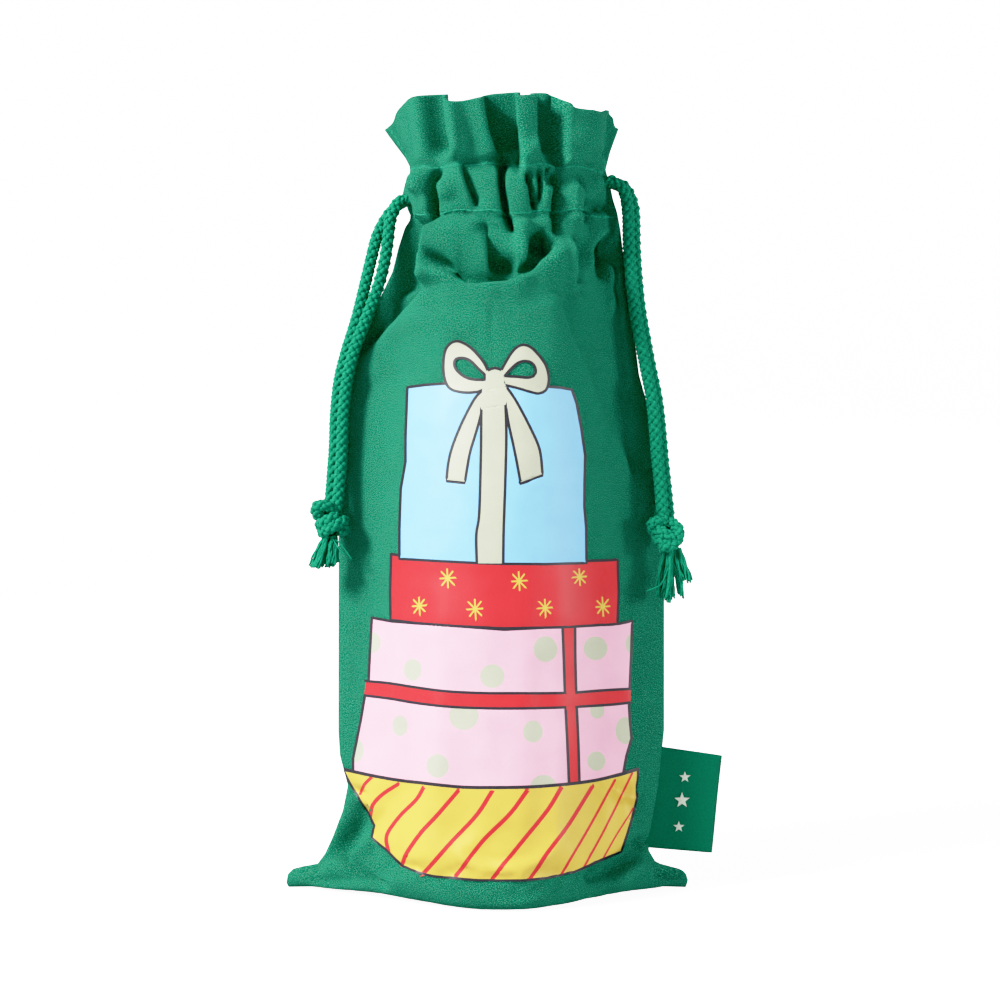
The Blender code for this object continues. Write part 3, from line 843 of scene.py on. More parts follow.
def sculpted_panel(grid, side):
    """One panel with its unevenness, the front's folds and the collar's wavy edge."""
    u = np.linspace(-1.0, 1.0, FINE_COLS + 1)[None, :]
    at_seam = np.clip((1.0 - np.abs(u)) * 14.0, 0.0, 1.0)
    normal = grid_normals(grid) * (1 if side == 0 else -1)
    x, z = grid[..., 0], grid[..., 2]
    above = share_of(z, 190.0, 230.0)
    low = share_of(z, 60.0, 10.0) * share_of(z, 3.0, 17.0)
    height = soft_noise(x, z, 26.0, 3.0 + side) * (0.7 + 1.0 * above + 0.9 * low)
    height += soft_noise(x, z, 9.0, 7.0 + side) * (0.22 + 0.35 * above + 0.3 * low)
    height *= at_seam
    in_neck = np.exp(-((z - 276.0) / 16.0) ** 2) * at_seam
    shift = np.zeros_like(grid)
    shift[..., 2] = soft_noise(x, z * 0.2, 11.0, 21.0 + side) * 2.6 * in_neck
    if side == 0:
        keep = np.where(z > 264.0, np.clip(at_seam + 0.45, 0, 1), at_seam)
        keep = keep * share_of(z, 1.5, 4.5)
        folds, lap_x, lap_z = sculpt(x, z)
        height = height + folds * keep
        shift[..., 0] += lap_x * keep
        shift[..., 2] += lap_z * keep
    height *= share_of(z, 0.0, 4.0)
    shift[..., 2] += collar_edge(x, u, side)
    grid = grid + normal * height[..., None] + shift
    grid[..., 0] += outline_shift(grid, u)
    return grid


def collar_edge(x, u, side):
    """How the collar's top edge drops to its corners, waves, and steps at the pleats."""
    v = np.linspace(0.0, PANEL_H, FINE_ROWS + 1)[:, None]
    collar = share_of(v, CHANNEL_HIGH_V, PANEL_H)
    left_drop = share_of(-u, 0.66, 1.0) ** 1.3 * 8.5
    right_drop = share_of(u, 0.72, 1.0) ** 1.3 * 6.5
    rise = collar * 1.1 * np.sin(u * 9.0 + 1.7 * side)
    rise = rise - collar * (left_drop + right_drop) * (1.0 if side == 0 else BACK_DROP)
    if side == 0:
        for place, drop, width in COLLAR_STEPS:
            rise = rise - drop / (1 + np.exp(-(x - place) / width)) * collar ** 2
    return rise


def outline_shift(grid, u):
    """How far each point moves in X so that the side seams meet their outlines."""
    move = np.zeros(grid.shape[:2])
    for column, outline, across in ((0, LEFT_OUTLINE, -u), (-1, RIGHT_OUTLINE, u)):
        heights, places = zip(*outline)
        seam = grid[:, column]
        missing = np.interp(seam[:, 2], heights, places) - seam[:, 0]
        move += missing[:, None] * share_of(across, 0.55, 1.0) ** 1.6
    return move


def level_out(grid, band, passes):
    """Smooth a panel from side to side within a band of heights, leaving its seams."""
    z = grid[..., 2]
    keep = share_of(z, band[0], band[1]) * share_of(z, band[3], band[2]) * 0.9
    smooth = grid.copy()
    for _ in range(passes):
        wide = np.pad(smooth, ((0, 0), (2, 2), (0, 0)), mode="reflect", reflect_type="odd")
        smooth = sum(wide[:, k:k + grid.shape[1]] for k in range(5)) / 5
    return grid * (1 - keep[..., None]) + smooth * keep[..., None]


def grid_normals(grid):
    """Outward normals of the front grid (inward ones on the back), smoothed a little."""
    across = np.gradient(grid, axis=1)
    up = np.gradient(grid, axis=0)
    normal = np.cross(across, up)
    for _ in range(6):
        wide = np.pad(normal, ((1, 1), (1, 1), (0, 0)), mode="edge")
        normal = (wide[:-2, 1:-1] + wide[2:, 1:-1] + wide[1:-1, :-2] + wide[1:-1, 2:]
                  + wide[1:-1, 1:-1]) / 5
    return normal / np.maximum(np.linalg.norm(normal, axis=2, keepdims=True), 1e-9)


def grid_object(name, grid, finish, outward, uv=None):
    """A sheet made from a grid of points in mm, rows upwards, columns from -X to +X."""
    rows, cols = grid.shape[:2]
    faces = []
    for r in range(rows - 1):
        for c in range(cols - 1):
            a = r * cols + c
            quad = (a, a + 1, a + 1 + cols, a + cols)
            faces.append(quad if outward else quad[::-1])
    mesh = bpy.data.meshes.new(name)
    mesh.from_pydata([tuple(p * MM) for p in grid.reshape(-1, 3)], [], faces)
    mesh.shade_smooth()
    if uv is not None:
        layer = mesh.uv_layers.new(name="flat")
        flat = uv.reshape(-1, 2) * MM
        corner = np.empty(len(mesh.loops), dtype=np.int32)
        mesh.loops.foreach_get("vertex_index", corner)
        layer.data.foreach_set("uv", flat[corner].ravel())
    return new_object(name, mesh, finish)


def flat_uv(rows, cols, low_v, high_v):
    """Each grid point's place on the flat pattern, in mm."""
    u, v = np.meshgrid(np.linspace(-PANEL_W / 2, PANEL_W / 2, cols),
                       np.linspace(low_v, high_v, rows))
    return np.stack([u, v], axis=2)


def thicken(thing, thickness, group=None, offset=-1.0):
    """Give a sheet its thickness in mm, which a group of weights may lessen."""
    shell = thing.modifiers.new("thickness", "SOLIDIFY")
    shell.thickness = thickness * MM
    shell.offset = offset
    if group:
        shell.vertex_group = group


def make_cloth(grids, finish):
    """The front and back cloths, from the base to the collar's top edge."""
    made = []
    for side, name in ((0, "front_cloth"), (1, "back_cloth")):
        cloth = grid_object(name, grids[side], finish, side == 0,
                            flat_uv(FINE_ROWS + 1, FINE_COLS + 1, 0.0, PANEL_H))
        plies = cloth.vertex_groups.new(name="plies")
        for r in range(FINE_ROWS + 1):
            v = PANEL_H * r / FINE_ROWS
            weight = 1.0 if v > CHANNEL_HIGH_V - 1 else 0.55
            row = list(range(r * (FINE_COLS + 1), (r + 1) * (FINE_COLS + 1)))
            plies.add(row, weight, "REPLACE")
        thicken(cloth, 1.25, "plies")
        made.append(cloth)
    return made


def make_inner_parts(grids, finish):
    """Seam allowances inside the bag and the strips that close the cord channel."""
    halfway = (grids[0] + grids[1]) / 2
    rows = [r for r in range(0, FINE_ROWS + 1, 2)
            if 8 < PANEL_H * r / FINE_ROWS < CHANNEL_LOW_V - 4]
    for side, columns in (("left", (1, 2, 4, 6, 8)), ("right", (131, 130, 128, 126, 124))):
        strip = halfway[np.ix_(rows, columns)]
        strip[..., 1] += 0.3 * np.sin(strip[..., 2] * 0.13)
        piece = grid_object(side + "_allowance", strip, finish, True,
                            flat_uv(len(rows), len(columns), 10.0, 300.0))
        thicken(piece, 0.8, offset=0.0)
        declare(piece, "bag", "cotton", side + "_side_seam")
    across = list(range(14, 119, 2))
    heights = (0.8, 3.2, 5.6, 8.0)
    foot = halfway[np.ix_([0] * len(heights), across)]
    foot[..., 2] = foot[..., 2].clip(0.6, 2.0)
    lean = np.sin(foot[..., 0] * 0.09) * 0.8
    for k, height in enumerate(heights):
        foot[k, :, 2] += height
        foot[k, :, 1] += lean[k] * height / heights[-1]
    piece = grid_object("bottom_allowance", foot, finish, True,
                        flat_uv(len(heights), len(across), 0.0, heights[-1]))
    thicken(piece, 0.8, offset=0.0)
    declare(piece, "bag", "cotton", "bottom_seam")
    make_channel_strips(finish)


def make_channel_strips(finish):
    """The channel's inner plies, gathered into small waves behind the cords' runs."""
    rows, steps = 9, 121
    turns = np.linspace(radians(20), radians(160), steps)
    for side, face in ((-1, "front"), (1, "back")):
        wave = 0.7 * np.sin(turns * 34 + side) + 0.4 * np.sin(turns * 13)
        strip = np.zeros((rows, steps, 3))
        for r, z in enumerate(np.linspace(266.4, 287.2, rows)):
            close = 1.0 - sin(pi * r / (rows - 1))
            strip[r, :, 0] = -(23.5 + wave + 4.5 * close) * np.cos(turns)
            strip[r, :, 1] = side * (13.5 + wave + 4.0 * close) * np.sin(turns)
            strip[r, :, 2] = z + 0.3 * np.sin(turns * 21)
        piece = grid_object(face + "_channel_strip", strip, finish, side > 0,
                            flat_uv(rows, steps, CHANNEL_LOW_V, CHANNEL_HIGH_V))
        thicken(piece, 0.6, offset=0.0)
        declare(piece, "bag", "cotton", face + "_casing_facing")


# ------------------------------------------------------------------ stitches
CHANNEL_STITCH = (2.1, 0.55, 0.30)      # length, gap, radius
HEM_STITCH = (2.0, 0.7, 0.28)
HEM_COLUMNS = (3, FINE_COLS - 4)
# A stitch's outline: share of its length, share of its radius.
STITCH_PROFILE = ((-0.02, 0.35), (0.08, 0.85), (0.5, 1.0), (0.92, 0.85), (1.02, 0.35))


def surface_tree(thing):
    """A search tree over a plain mesh, for laying things on its surface."""
    form = bmesh.new()
    form.from_mesh(thing.data)
    tree = BVHTree.FromBMesh(form)
    form.free()
    return tree


def capsule(form, start, end, radius, sides=6):
    """A rounded thread stitch between two points."""
    way = (end - start).normalized()
    side = way.orthogonal().normalized()
    other = way.cross(side)
    rings = []
    for share, size in STITCH_PROFILE:
        middle = start.lerp(end, share)
        rings.append([form.verts.new(middle + (side * cos(2 * pi * k / sides)
                      + other * sin(2 * pi * k / sides)) * radius * size)
                      for k in range(sides)])
    for one, two in zip(rings, rings[1:]):
        for k in range(sides):
            after = (k + 1) % sides
            form.faces.new((one[k], one[after], two[after], two[k]))
    form.faces.new(rings[0][::-1])
    form.faces.new(rings[-1])


def distance_along(points):
    """The way run along a line of points at each of them."""
    steps = np.linalg.norm(np.diff(points, axis=0), axis=1)
    return np.concatenate([[0.0], np.cumsum(steps)])


def stitch_line(form, points, normals, stitch, seed):
    """Stitches one after another along a line of points lying on the cloth."""
    length, gap, radius = stitch
    along = distance_along(points)
    place = gap
    while place + length < along[-1]:
        rise = 0.25 * noise.noise(Vector((place * 0.7, seed, 0.5)))
        ends = []
        for at in (place, place + length):
            spot = np.array([np.interp(at, along, points[:, k]) for k in range(3)])
            out = np.array([np.interp(at, along, normals[:, k]) for k in range(3)])
            ends.append(Vector((spot + out * radius * 0.35) * MM)
                        + Vector((0, 0, rise * MM)))
        if (ends[1] - ends[0]).length < length * 1.2 * MM:
            capsule(form, ends[0], ends[1], radius * MM)
        place += length + gap


def make_stitches(grids, finish):
    """Two rows of light green stitches round the channel, and the collar's side hems."""
    first = int(CHANNEL_HIGH_V / PANEL_H * FINE_ROWS) + 1
    for side, face in ((0, "front"), (1, "back")):
        grid = grids[side]
        normal = grid_normals(grid) * (1 if side == 0 else -1)
        for level, v in (("lower", CHANNEL_LOW_V), ("upper", CHANNEL_HIGH_V)):
            at = v / PANEL_H * FINE_ROWS
            r = int(at)
            line = grid[r] * (1 - at + r) + grid[r + 1] * (at - r)
            form = bmesh.new()
            stitch_line(form, line[2:-2], normal[r][2:-2], CHANNEL_STITCH, side * 7 + v)
            for column in HEM_COLUMNS if level == "upper" else ():
                stitch_line(form, grid[first:-1, column], normal[first:-1, column],
                            HEM_STITCH, column)
            piece = form_object(face + "_" + level + "_stitches", form, finish)
            declare(piece, "bag", "thread", face + "_" + level + "_stitch_row")


# ------------------------------------------------------------------ side label
LABEL_HINGE_LOW = Vector((59.9, 0.0, 16.0))
LABEL_HINGE_HIGH = Vector((65.4, 0.0, 56.0))
LABEL_OUTER_LOW = Vector((83.2, 0.0, 14.2))
LABEL_OUTER_HIGH = Vector((87.2, 0.0, 53.0))
LABEL_UPS = 30            # cells of the ribbon's height
LABEL_TURNS = 40          # cells along the ribbon, out and back
LABEL_WEAVE = (0.050, 0.040)            # its size on the UV map that carries the weave
LABEL_PLY = 0.25
STAR_POINTS = 5
LABEL_STARS = ((0.24, 2.3), (0.5, 3.2), (0.76, 2.3))    # share of the height, reach


def label_points():
    """The ribbon's points in mm: out along the front ply, round the fold and back."""
    points = np.zeros((LABEL_UPS + 1, LABEL_TURNS + 1, 3))
    for r in range(LABEL_UPS + 1):
        up = r / LABEL_UPS
        inner = LABEL_HINGE_LOW.lerp(LABEL_HINGE_HIGH, up)
        outer = LABEL_OUTER_LOW.lerp(LABEL_OUTER_HIGH, up)
        for c in range(LABEL_TURNS + 1):
            t = c / LABEL_TURNS
            reach = 1 - abs(2 * t - 1)
            fold = sqrt(max(0.0, 1 - reach ** 8))
            side = -1 if t < 0.5 else 1
            spot = inner.lerp(outer, -0.24 + 1.23 * reach)
            bow = 0.5 * sin(pi * up) * reach - 0.35 * sin(2.2 * pi * up) * reach
            points[r, c] = (spot.x, side * (0.55 * fold + 0.05) + bow - 1.2 * reach, spot.z)
    return points


def woven_star(form, points, spot, size):
    """A low star lying on the label's front ply round a spot."""
    star = []
    corners = 2 * STAR_POINTS
    for k in range(corners):
        reach = size if k % 2 == 0 else size * 0.42
        turn = pi / 2 + 2 * pi * k / corners
        x, z = spot.x + reach * cos(turn), spot.z + reach * sin(turn)
        up = (z - LABEL_HINGE_LOW.z) / (LABEL_HINGE_HIGH.z - LABEL_HINGE_LOW.z)
        r = int(round(min(max(up, 0.0), 1.0) * LABEL_UPS))
        row = points[r, :LABEL_TURNS // 2]
        star.append(Vector((x, np.interp(x, row[:, 0], row[:, 1]) - 0.42, z)))
    raised = np.mean([p.y for p in star]) - 0.1
    centre = form.verts.new(Vector((spot.x, raised, spot.z)) * MM)
    rim = [form.verts.new(p * MM) for p in star]
    under = [form.verts.new((p + Vector((0, 0.22, 0))) * MM) for p in star]
    for k in range(corners):
        after = (k + 1) % corners
        form.faces.new((centre, rim[k], rim[after]))
        form.faces.new((rim[after], rim[k], under[k], under[after]))


def make_label(satin, thread):
    """A folded satin ribbon label with three small woven stars and no words."""
    points = label_points()
    piece = grid_object("label_ribbon", points, satin, True)
    layer = piece.data.uv_layers.new(name="flat")
    for corner, loop in zip(layer.data, piece.data.loops):
        r, c = divmod(loop.vertex_index, LABEL_TURNS + 1)
        corner.uv = (c / LABEL_TURNS * LABEL_WEAVE[0], r / LABEL_UPS * LABEL_WEAVE[1])
    thicken(piece, LABEL_PLY, offset=0.0)
    declare(piece, "label", "satin", "side_label")
    form = bmesh.new()
    for up, size in LABEL_STARS:
        woven_star(form, points, Vector(points[int(up * LABEL_UPS), LABEL_TURNS // 4]), size)
    stars = form_object("label_stars", form, thread, smooth=False)
    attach(stars, "label")


# ------------------------------------------------------------------ print
# Outlines of the printed film in millimetres, X and Z, on the upright plane that
# touches the bag's front (PRINT_Y), seen from the camera; sight lines through them
# carry the film on to the cloth.  It is a generic stack of gift boxes with no words.
PRINT_Y = -45.0
OUTLINE = 1.05            # width of the drawn outlines
FILM_LIFT = 0.38          # how far the film stands above the cloth
FILM_CELL = 1.1           # size of the film's triangles between the drawn lines
FILM_STEEP = 12.0         # triangles that fall this far back over a fold are left out
# The pink box, its red ribbons and cream dots
PINK_BOX = ((-49.9, 111.9), (-42.4, 110.5), (-0, 107.4), (43, 109.6), (48.3, 110.7),
    (47.9, 98.4), (47.3, 85.3), (47, 79.3), (47.3, 73.7), (48, 66.2), (46, 59.4), (44.9,
    53.3), (41.9, 46.7), (-49.9, 47.5), (-57, 53.7), (-57, 58.7), (-55.8, 64.7), (-54, 73.7),
    (-52.6, 81.9), (-51.1, 88.3), (-50.6, 99.1))
BAND_TOP = ((-52.1, 87.9), (-43.5, 87.1), (-33.8, 85.6), (-22.5, 84.1), (-9.8, 83.4),
    (1.4, 83.3), (22.8, 83.4), (37.4, 84.4), (47.7, 84.9))
BAND_LOW = ((-52.8, 82.5), (-42.7, 81.2), (-32.3, 79.5), (-20.3, 78.2), (-5.3, 77.6),
    (8.9, 77.6), (23.2, 78), (38.9, 78.9), (47.7, 79.8))
STRAP_LEFT = ((21.9, 108.9), (22.4, 96.1), (22.9, 81.2), (23.7, 64.7), (24.4, 46.7))
STRAP_RIGHT = ((26.6, 108.9), (26.7, 96.1), (27.1, 81.2), (27.8, 64.7), (28.3, 46.7))
DOTS = ((-49.9, 102.5, 3.4, 3.9), (-34.4, 92.2, 3.4, 4.1), (-4.5, 89.8, 4.6, 4.5), (15.5,
    100, 4.5, 4.9), (34.3, 100.3, 4.5, 4.5), (48.5, 102, 2.8, 3.9), (-39.2, 71, 2.8, 3.9),
    (-15.2, 74.8, 5.6, 5.4), (10.8, 68.8, 3.7, 4.2), (-25, 55.8, 4.1, 4.5), (14.8, 47.5, 5.1,
    4.9), (34.9, 76.7, 2.7, 3), (45.6, 69.2, 3.7, 5.1), (34.6, 57.6, 3.4, 3.7), (-56.1, 61.7,
    3.1, 4.5))
# The red box and its yellow stars: centre and reach
RED_BOX = ((-42.5, 136), (-39.5, 135.5), (-1.6, 133.8), (31, 133.4), (42.7, 133.8), (43.1,
    121.6), (42.6, 109.5), (21.7, 108.3), (-0.1, 107.9), (-17.3, 108.7), (-32.3, 109.8),
    (-42.7, 111.1), (-42.9, 122.4))
STARS = ((-21.3, 126.9, 3.6), (5.6, 125.8, 3.6), (28.3, 127.3, 3.2), (-31.9, 116.4, 3.2),
    (-10.9, 115.2, 3.8), (15.4, 115.6, 3.4), (37, 116.1, 3.4))
# The blue box with its cream ribbon and bow
BLUE_BOX = ((-36.4, 199.1), (-29.7, 200), (-21.5, 200.6), (-9.9, 199.3), (0.5, 199.7),
    (16.7, 199.4), (21.4, 199), (25.4, 198.2), (27.2, 193), (28.9, 183.8), (30.4, 173.3),
    (30.2, 164.1), (30.1, 154.2), (30.8, 145.5), (30.9, 132.6), (15.6, 132.2), (0.5, 132.3),
    (-9.9, 132.6), (-23.9, 133.3), (-39.4, 134.2), (-39.4, 145.5), (-38.9, 160.6), (-37.1,
    171), (-37.1, 180.3))
RIBBON_LEFT = ((-8.6, 190.7), (-8.8, 171.6), (-9.4, 151.3), (-10.5, 143.2), (-10.3,
    132.5))
RIBBON_RIGHT = ((0.5, 192.5), (0.8, 180.3), (0.4, 162.9), (-0.2, 145.5), (-0.4, 132.5))
LEFT_LOOP = ((-6.2, 205.5), (-8.2, 209.3), (-12.3, 213.9), (-15.7, 216.1), (-18.1, 216.7),
    (-20.4, 215.7), (-22.1, 213.3), (-22.8, 209.3), (-22.7, 204.1), (-21.5, 200), (-19.2,
    198), (-14.6, 197.1), (-9.9, 197.4), (-8.3, 198))
LEFT_LOOP_HOLE = ((-7.4, 204), (-9.9, 206.4), (-12.8, 209.3), (-15.7, 210.3), (-18.1,
    209.9), (-18.8, 208.1), (-18.1, 205.9), (-15.5, 203.5), (-12.3, 202.2), (-7.4, 201.9))
RIGHT_LOOP = ((-1, 205.7), (0.5, 208.4), (2.8, 212.2), (5.1, 214.5), (7.4, 215.2), (10.1,
    214.2), (13.2, 211), (15.6, 207.5), (16.7, 203.5), (16.6, 200.6), (15.6, 198), (13,
    196.8), (9.8, 197.4), (5.1, 198.8), (0.6, 199.9))
RIGHT_LOOP_HOLE = ((0.2, 203.4), (2.2, 205.7), (5.1, 208.3), (8, 209.1), (10.3, 208.4),
    (11.6, 206.7), (11.8, 204.6), (10.9, 203.3), (8.6, 202.8), (5.1, 203.1))
BOW_KNOT = ((-6.2, 205.5), (-3.6, 206.4), (-1, 205.7), (0, 203.5), (0, 200.9), (0.6,
    199.7), (-4.1, 196.5), (-8.3, 198), (-7.4, 201.9), (-7.4, 204))
LEFT_TAIL_OUT = ((-8.3, 198), (-11.1, 194.8), (-14.6, 188.4), (-17.5, 182), (-19.8,
    175.7), (-21.1, 169.9), (-21.7, 163.6))
LEFT_TAIL_IN = ((-14.8, 162.9), (-13.9, 168.7), (-12.8, 174.5), (-11.1, 180.3), (-9.4,
    186.1), (-8.3, 190.7))
RIGHT_TAIL_OUT = ((0.8, 199.4), (4, 194.8), (6.9, 189.6), (10.1, 183.2), (12.7, 177.4),
    (13.8, 172.8), (14.4, 165.8))
RIGHT_TAIL_IN = ((6.2, 162.7), (4.8, 170.4), (3.4, 177.4), (1.6, 185.5), (0.5, 192.5))
# The yellow bottom box and its red stripes, each with its width
YELLOW_TOP = ((-60.9, 54.6), (-49.9, 52.1), (-39.7, 50.4), (-26.3, 48.8), (-15.8, 47.8),
    (-5.3, 47.6), (8.2, 47.8), (20.2, 48.6), (32.9, 50.1), (42.6, 52.3), (50.5, 54.6))
YELLOW_LOW = ((50.1, 43.7), (49.2, 39.2), (46.4, 30.2), (44.1, 23.5), (35.2, 19.7), (26.2,
    15.6), (16.4, 13.4), (9.7, 12.6), (-2.3, 12.4), (-14.3, 12.8), (-26.3, 14.1), (-32.3,
    15.2), (-38.2, 17.9), (-41.6, 21.2), (-44.6, 24.2), (-50, 28.4), (-48.9, 33.2), (-51,
    37.7), (-56.2, 45.6), (-59.2, 51.2))
STRIPES = (((-50, 51.4), (-52.8, 48.6), (-54.3, 45.1)), ((-40, 48.9), (-45.7, 45.2),
    (-49.5, 41.1), (-50.4, 37.3)), ((-30.3, 47.5), (-33, 43), (-39, 37), (-43.5, 31), (-44.4,
    27.6), (-43.6, 23.6)), ((-17.2, 46.6), (-24.8, 37.7), (-31.5, 30.2), (-36.7, 22.7),
    (-38.5, 18.4)), ((-4.8, 45.8), (-10.5, 37), (-20.3, 26.5), (-30.8, 14.6)), ((8.6, 46.4),
    (2.2, 37.7), (-8.3, 27.2), (-18.2, 14)), ((21.4, 47.5), (16.4, 39.2), (7.4, 28), (-4.5,
    13.1)), ((33.1, 48), (23.9, 33.2), (15.7, 22), (9.7, 13.1)), ((41.6, 50.4), (31.4, 31.7),
    (21.1, 14.3)), ((48.3, 53.1), (38.9, 34), (29.7, 17)), ((48.8, 39.8), (42.6, 30.2), (37.2,
    20.8)))
STRIPE_WIDTHS = (1.3, 1.5, 1.5, 1.6, 1.65, 1.65, 1.6, 1.5, 0.95, 0.85, 0.65)


def on_curve(points, k, t):
    """A spot between points k and k + 1 on the smooth curve through all of them."""
    p1, p2 = points[k], points[k + 1]
    p0 = points[k - 1] if k else 2 * p1 - p2
    p3 = points[k + 2] if k + 2 < len(points) else 2 * p2 - p1
    return 0.5 * (2 * p1 + (p2 - p0) * t + (2 * p0 - 5 * p1 + 4 * p2 - p3) * t * t
                  + (3 * p1 - p0 - 3 * p2 + p3) * t ** 3)


def smooth_route(points, step=1.2):
    """A smooth curve through flat points, read every step or so."""
    points = [np.array(p, float) for p in points]
    made = []
    for k in range(len(points) - 1):
        cuts = max(1, int(round(np.linalg.norm(points[k + 1] - points[k]) / step)))
        made += [on_curve(points, k, c / cuts) for c in range(cuts)]
    return made + [points[-1]]


def straight_route(points, step=1.5, closed=True):
    """Points every step or so along straight lines, closed unless told otherwise."""
    points = [np.array(p, float) for p in points]
    made = []
    for a, b in zip(points, points[1:] + (points[:1] if closed else [])):
        cuts = max(1, int(np.linalg.norm(b - a) / step))
        made += [a + (b - a) * c / cuts for c in range(cuts)]
    return made if closed else made + [points[-1]]


def stroke(route, width, closed=False):
    """A pen stroke of one width along a route."""
    points = list(route) + ([route[0]] if closed else [])
    kept = [points[0]]
    for p in points[1:]:
        if np.linalg.norm(p - kept[-1]) > 0.05:
            kept.append(p)
    return ("stroke", np.array(kept), width)


def stroke_sides(line, width):
    """The closed outline of a stroke."""
    way = np.gradient(line, axis=0)
    way /= np.linalg.norm(way, axis=1, keepdims=True)
    aside = np.stack([-way[:, 1], way[:, 0]], axis=1) * width / 2
    return np.concatenate([line + aside, (line - aside)[::-1]])


def inside_shape(spots, shape):
    """Which spots lie inside an outline, or within a stroke."""
    if isinstance(shape, tuple):
        _, line, width = shape
        best = np.full(len(spots), 1e9)
        for a, b in zip(line, line[1:]):
            way = b - a
            t = np.clip((spots - a) @ way / (way @ way), 0, 1)
            best = np.minimum(best, np.linalg.norm(spots - a - t[:, None] * way, axis=1))
        return best < width / 2
    inside = np.zeros(len(spots), bool)
    for a, b in zip(shape, list(shape[1:]) + [shape[0]]):
        crosses = (a[1] > spots[:, 1]) != (b[1] > spots[:, 1])
        if crosses.any():
            at = a[0] + (spots[:, 1] - a[1]) / (b[1] - a[1] + 1e-12) * (b[0] - a[0])
            inside ^= crosses & (spots[:, 0] < at)
    return inside


def ellipse(x, z, reach_x, reach_z, steps=24):
    """Points round a flat ellipse."""
    return [np.array((x + reach_x * cos(t), z + reach_z * sin(t)))
            for t in np.arange(steps) * 2 * pi / steps]


def star_rays(x, z, reach):
    """The crossing strokes of a little star, the level one a bit shorter."""
    rays = []
    for k in range(4):
        turn = pi / 2 + k * pi / 4 + 0.06
        way = np.array((cos(turn) * 0.86, sin(turn))) * reach * (1.0 if k != 2 else 0.92)
        rays.append(stroke([np.array((x, z)) - way, np.array((x, z)) + way], 0.62))
    return rays


def print_layers():
    """Every printed shape as (layer, outlines), painted one after another."""
    pink, red, blue = (straight_route(box) for box in (PINK_BOX, RED_BOX, BLUE_BOX))
    yellow = smooth_route(YELLOW_TOP) + straight_route(YELLOW_LOW, closed=False)
    layers = [("film_pink", [pink]),
              ("film_cream:film_pink", [ellipse(*dot) for dot in DOTS]),
              ("outline", [stroke(pink, OUTLINE, True)])]
    layers += ribbon_cross()
    layers.append(("film_red", [red]))
    layers += [("film_yellow", star_rays(*star)) for star in STARS]
    layers += [("outline", [stroke(red, OUTLINE, True)]),
               ("film_blue", [blue]),
               ("outline", [stroke(blue, OUTLINE, True)]),
               ("film_yellow", [yellow])]
    layers += [("film_red", [stroke(smooth_route(route), width)])
               for route, width in zip(STRIPES, STRIPE_WIDTHS)]
    layers += [("outline", [stroke(yellow, OUTLINE * 0.9, True)]),
               ("outline", [stroke(smooth_route(YELLOW_TOP), OUTLINE * 1.2)])]
    return layers + bow_layers()


def ribbon_cross():
    """The pink box's red ribbons, outlined, and the two patches where they cross."""
    edges = [smooth_route(edge) for edge in (BAND_TOP, BAND_LOW, STRAP_LEFT, STRAP_RIGHT)]
    band = edges[0] + edges[1][::-1]
    strap = edges[2] + edges[3][::-1]
    layers = [("film_red", [strap, band])]
    layers += [("outline", [stroke(edge, OUTLINE)]) for edge in edges]
    left, right = STRAP_LEFT[2][0] + 0.5, STRAP_RIGHT[2][0] - 0.5
    low, high = BAND_LOW[6][1] + 0.5, BAND_TOP[6][1] - 0.5
    upright = ((left, low - 1.4), (right, low - 1.2), (right, high + 1.2),
               (left, high + 1.4))
    level = ((left - 1.4, low), (right + 1.4, low + 0.1), (right + 1.4, high + 0.1),
             (left - 1.4, high))
    return layers + [("film_red", [straight_route(patch)]) for patch in (upright, level)]


def bow_layers():
    """The cream ribbon and bow, outlined, and the bare cloth seen through its loops."""
    left_tail = smooth_route(LEFT_TAIL_OUT) + smooth_route(LEFT_TAIL_IN)
    right_tail = smooth_route(RIGHT_TAIL_OUT) + smooth_route(RIGHT_TAIL_IN)
    sides = [smooth_route(RIBBON_LEFT), smooth_route(RIBBON_RIGHT)]
    ribbon = sides[0] + sides[1][::-1]
    crotch = [np.array(p) for p in (LEFT_TAIL_OUT[0], RIGHT_TAIL_OUT[0], RIBBON_RIGHT[0],
                                    RIBBON_LEFT[0])]
    loops = [smooth_route(LEFT_LOOP), smooth_route(RIGHT_LOOP)]
    holes = [smooth_route(LEFT_LOOP_HOLE), smooth_route(RIGHT_LOOP_HOLE)]
    knot_top = smooth_route(BOW_KNOT[:3])
    knot = smooth_route(BOW_KNOT[:6]) + [np.array(p) for p in BOW_KNOT[6:]]
    layers = [("outline", [stroke(loop, OUTLINE) for loop in loops]),
              ("film_cream", loops + [left_tail, right_tail, ribbon, crotch])]
    layers += [("outline", [stroke(edge, OUTLINE)])
               for edge in [left_tail[:-1], right_tail[:-1]] + loops + sides + [knot_top]]
    return layers + [("film_cream", [knot, crotch]),
                     ("outline", [stroke(knot_top, OUTLINE)]),
                     ("bare", holes),
                     ("outline", [stroke(hole, OUTLINE, True) for hole in holes])]


def sight_hit(tree, x, z):
    """Where the sight line through a spot on the print plane meets the cloth's front."""
    eye = Vector((CAMERA_X, -CAMERA_BACK, CAMERA_UP))
    spot = Vector((x, PRINT_Y, z)) * MM
    place, _, _, _ = tree.ray_cast(eye, (spot - eye).normalized())
    return None if place is None or place.y > 0 else place


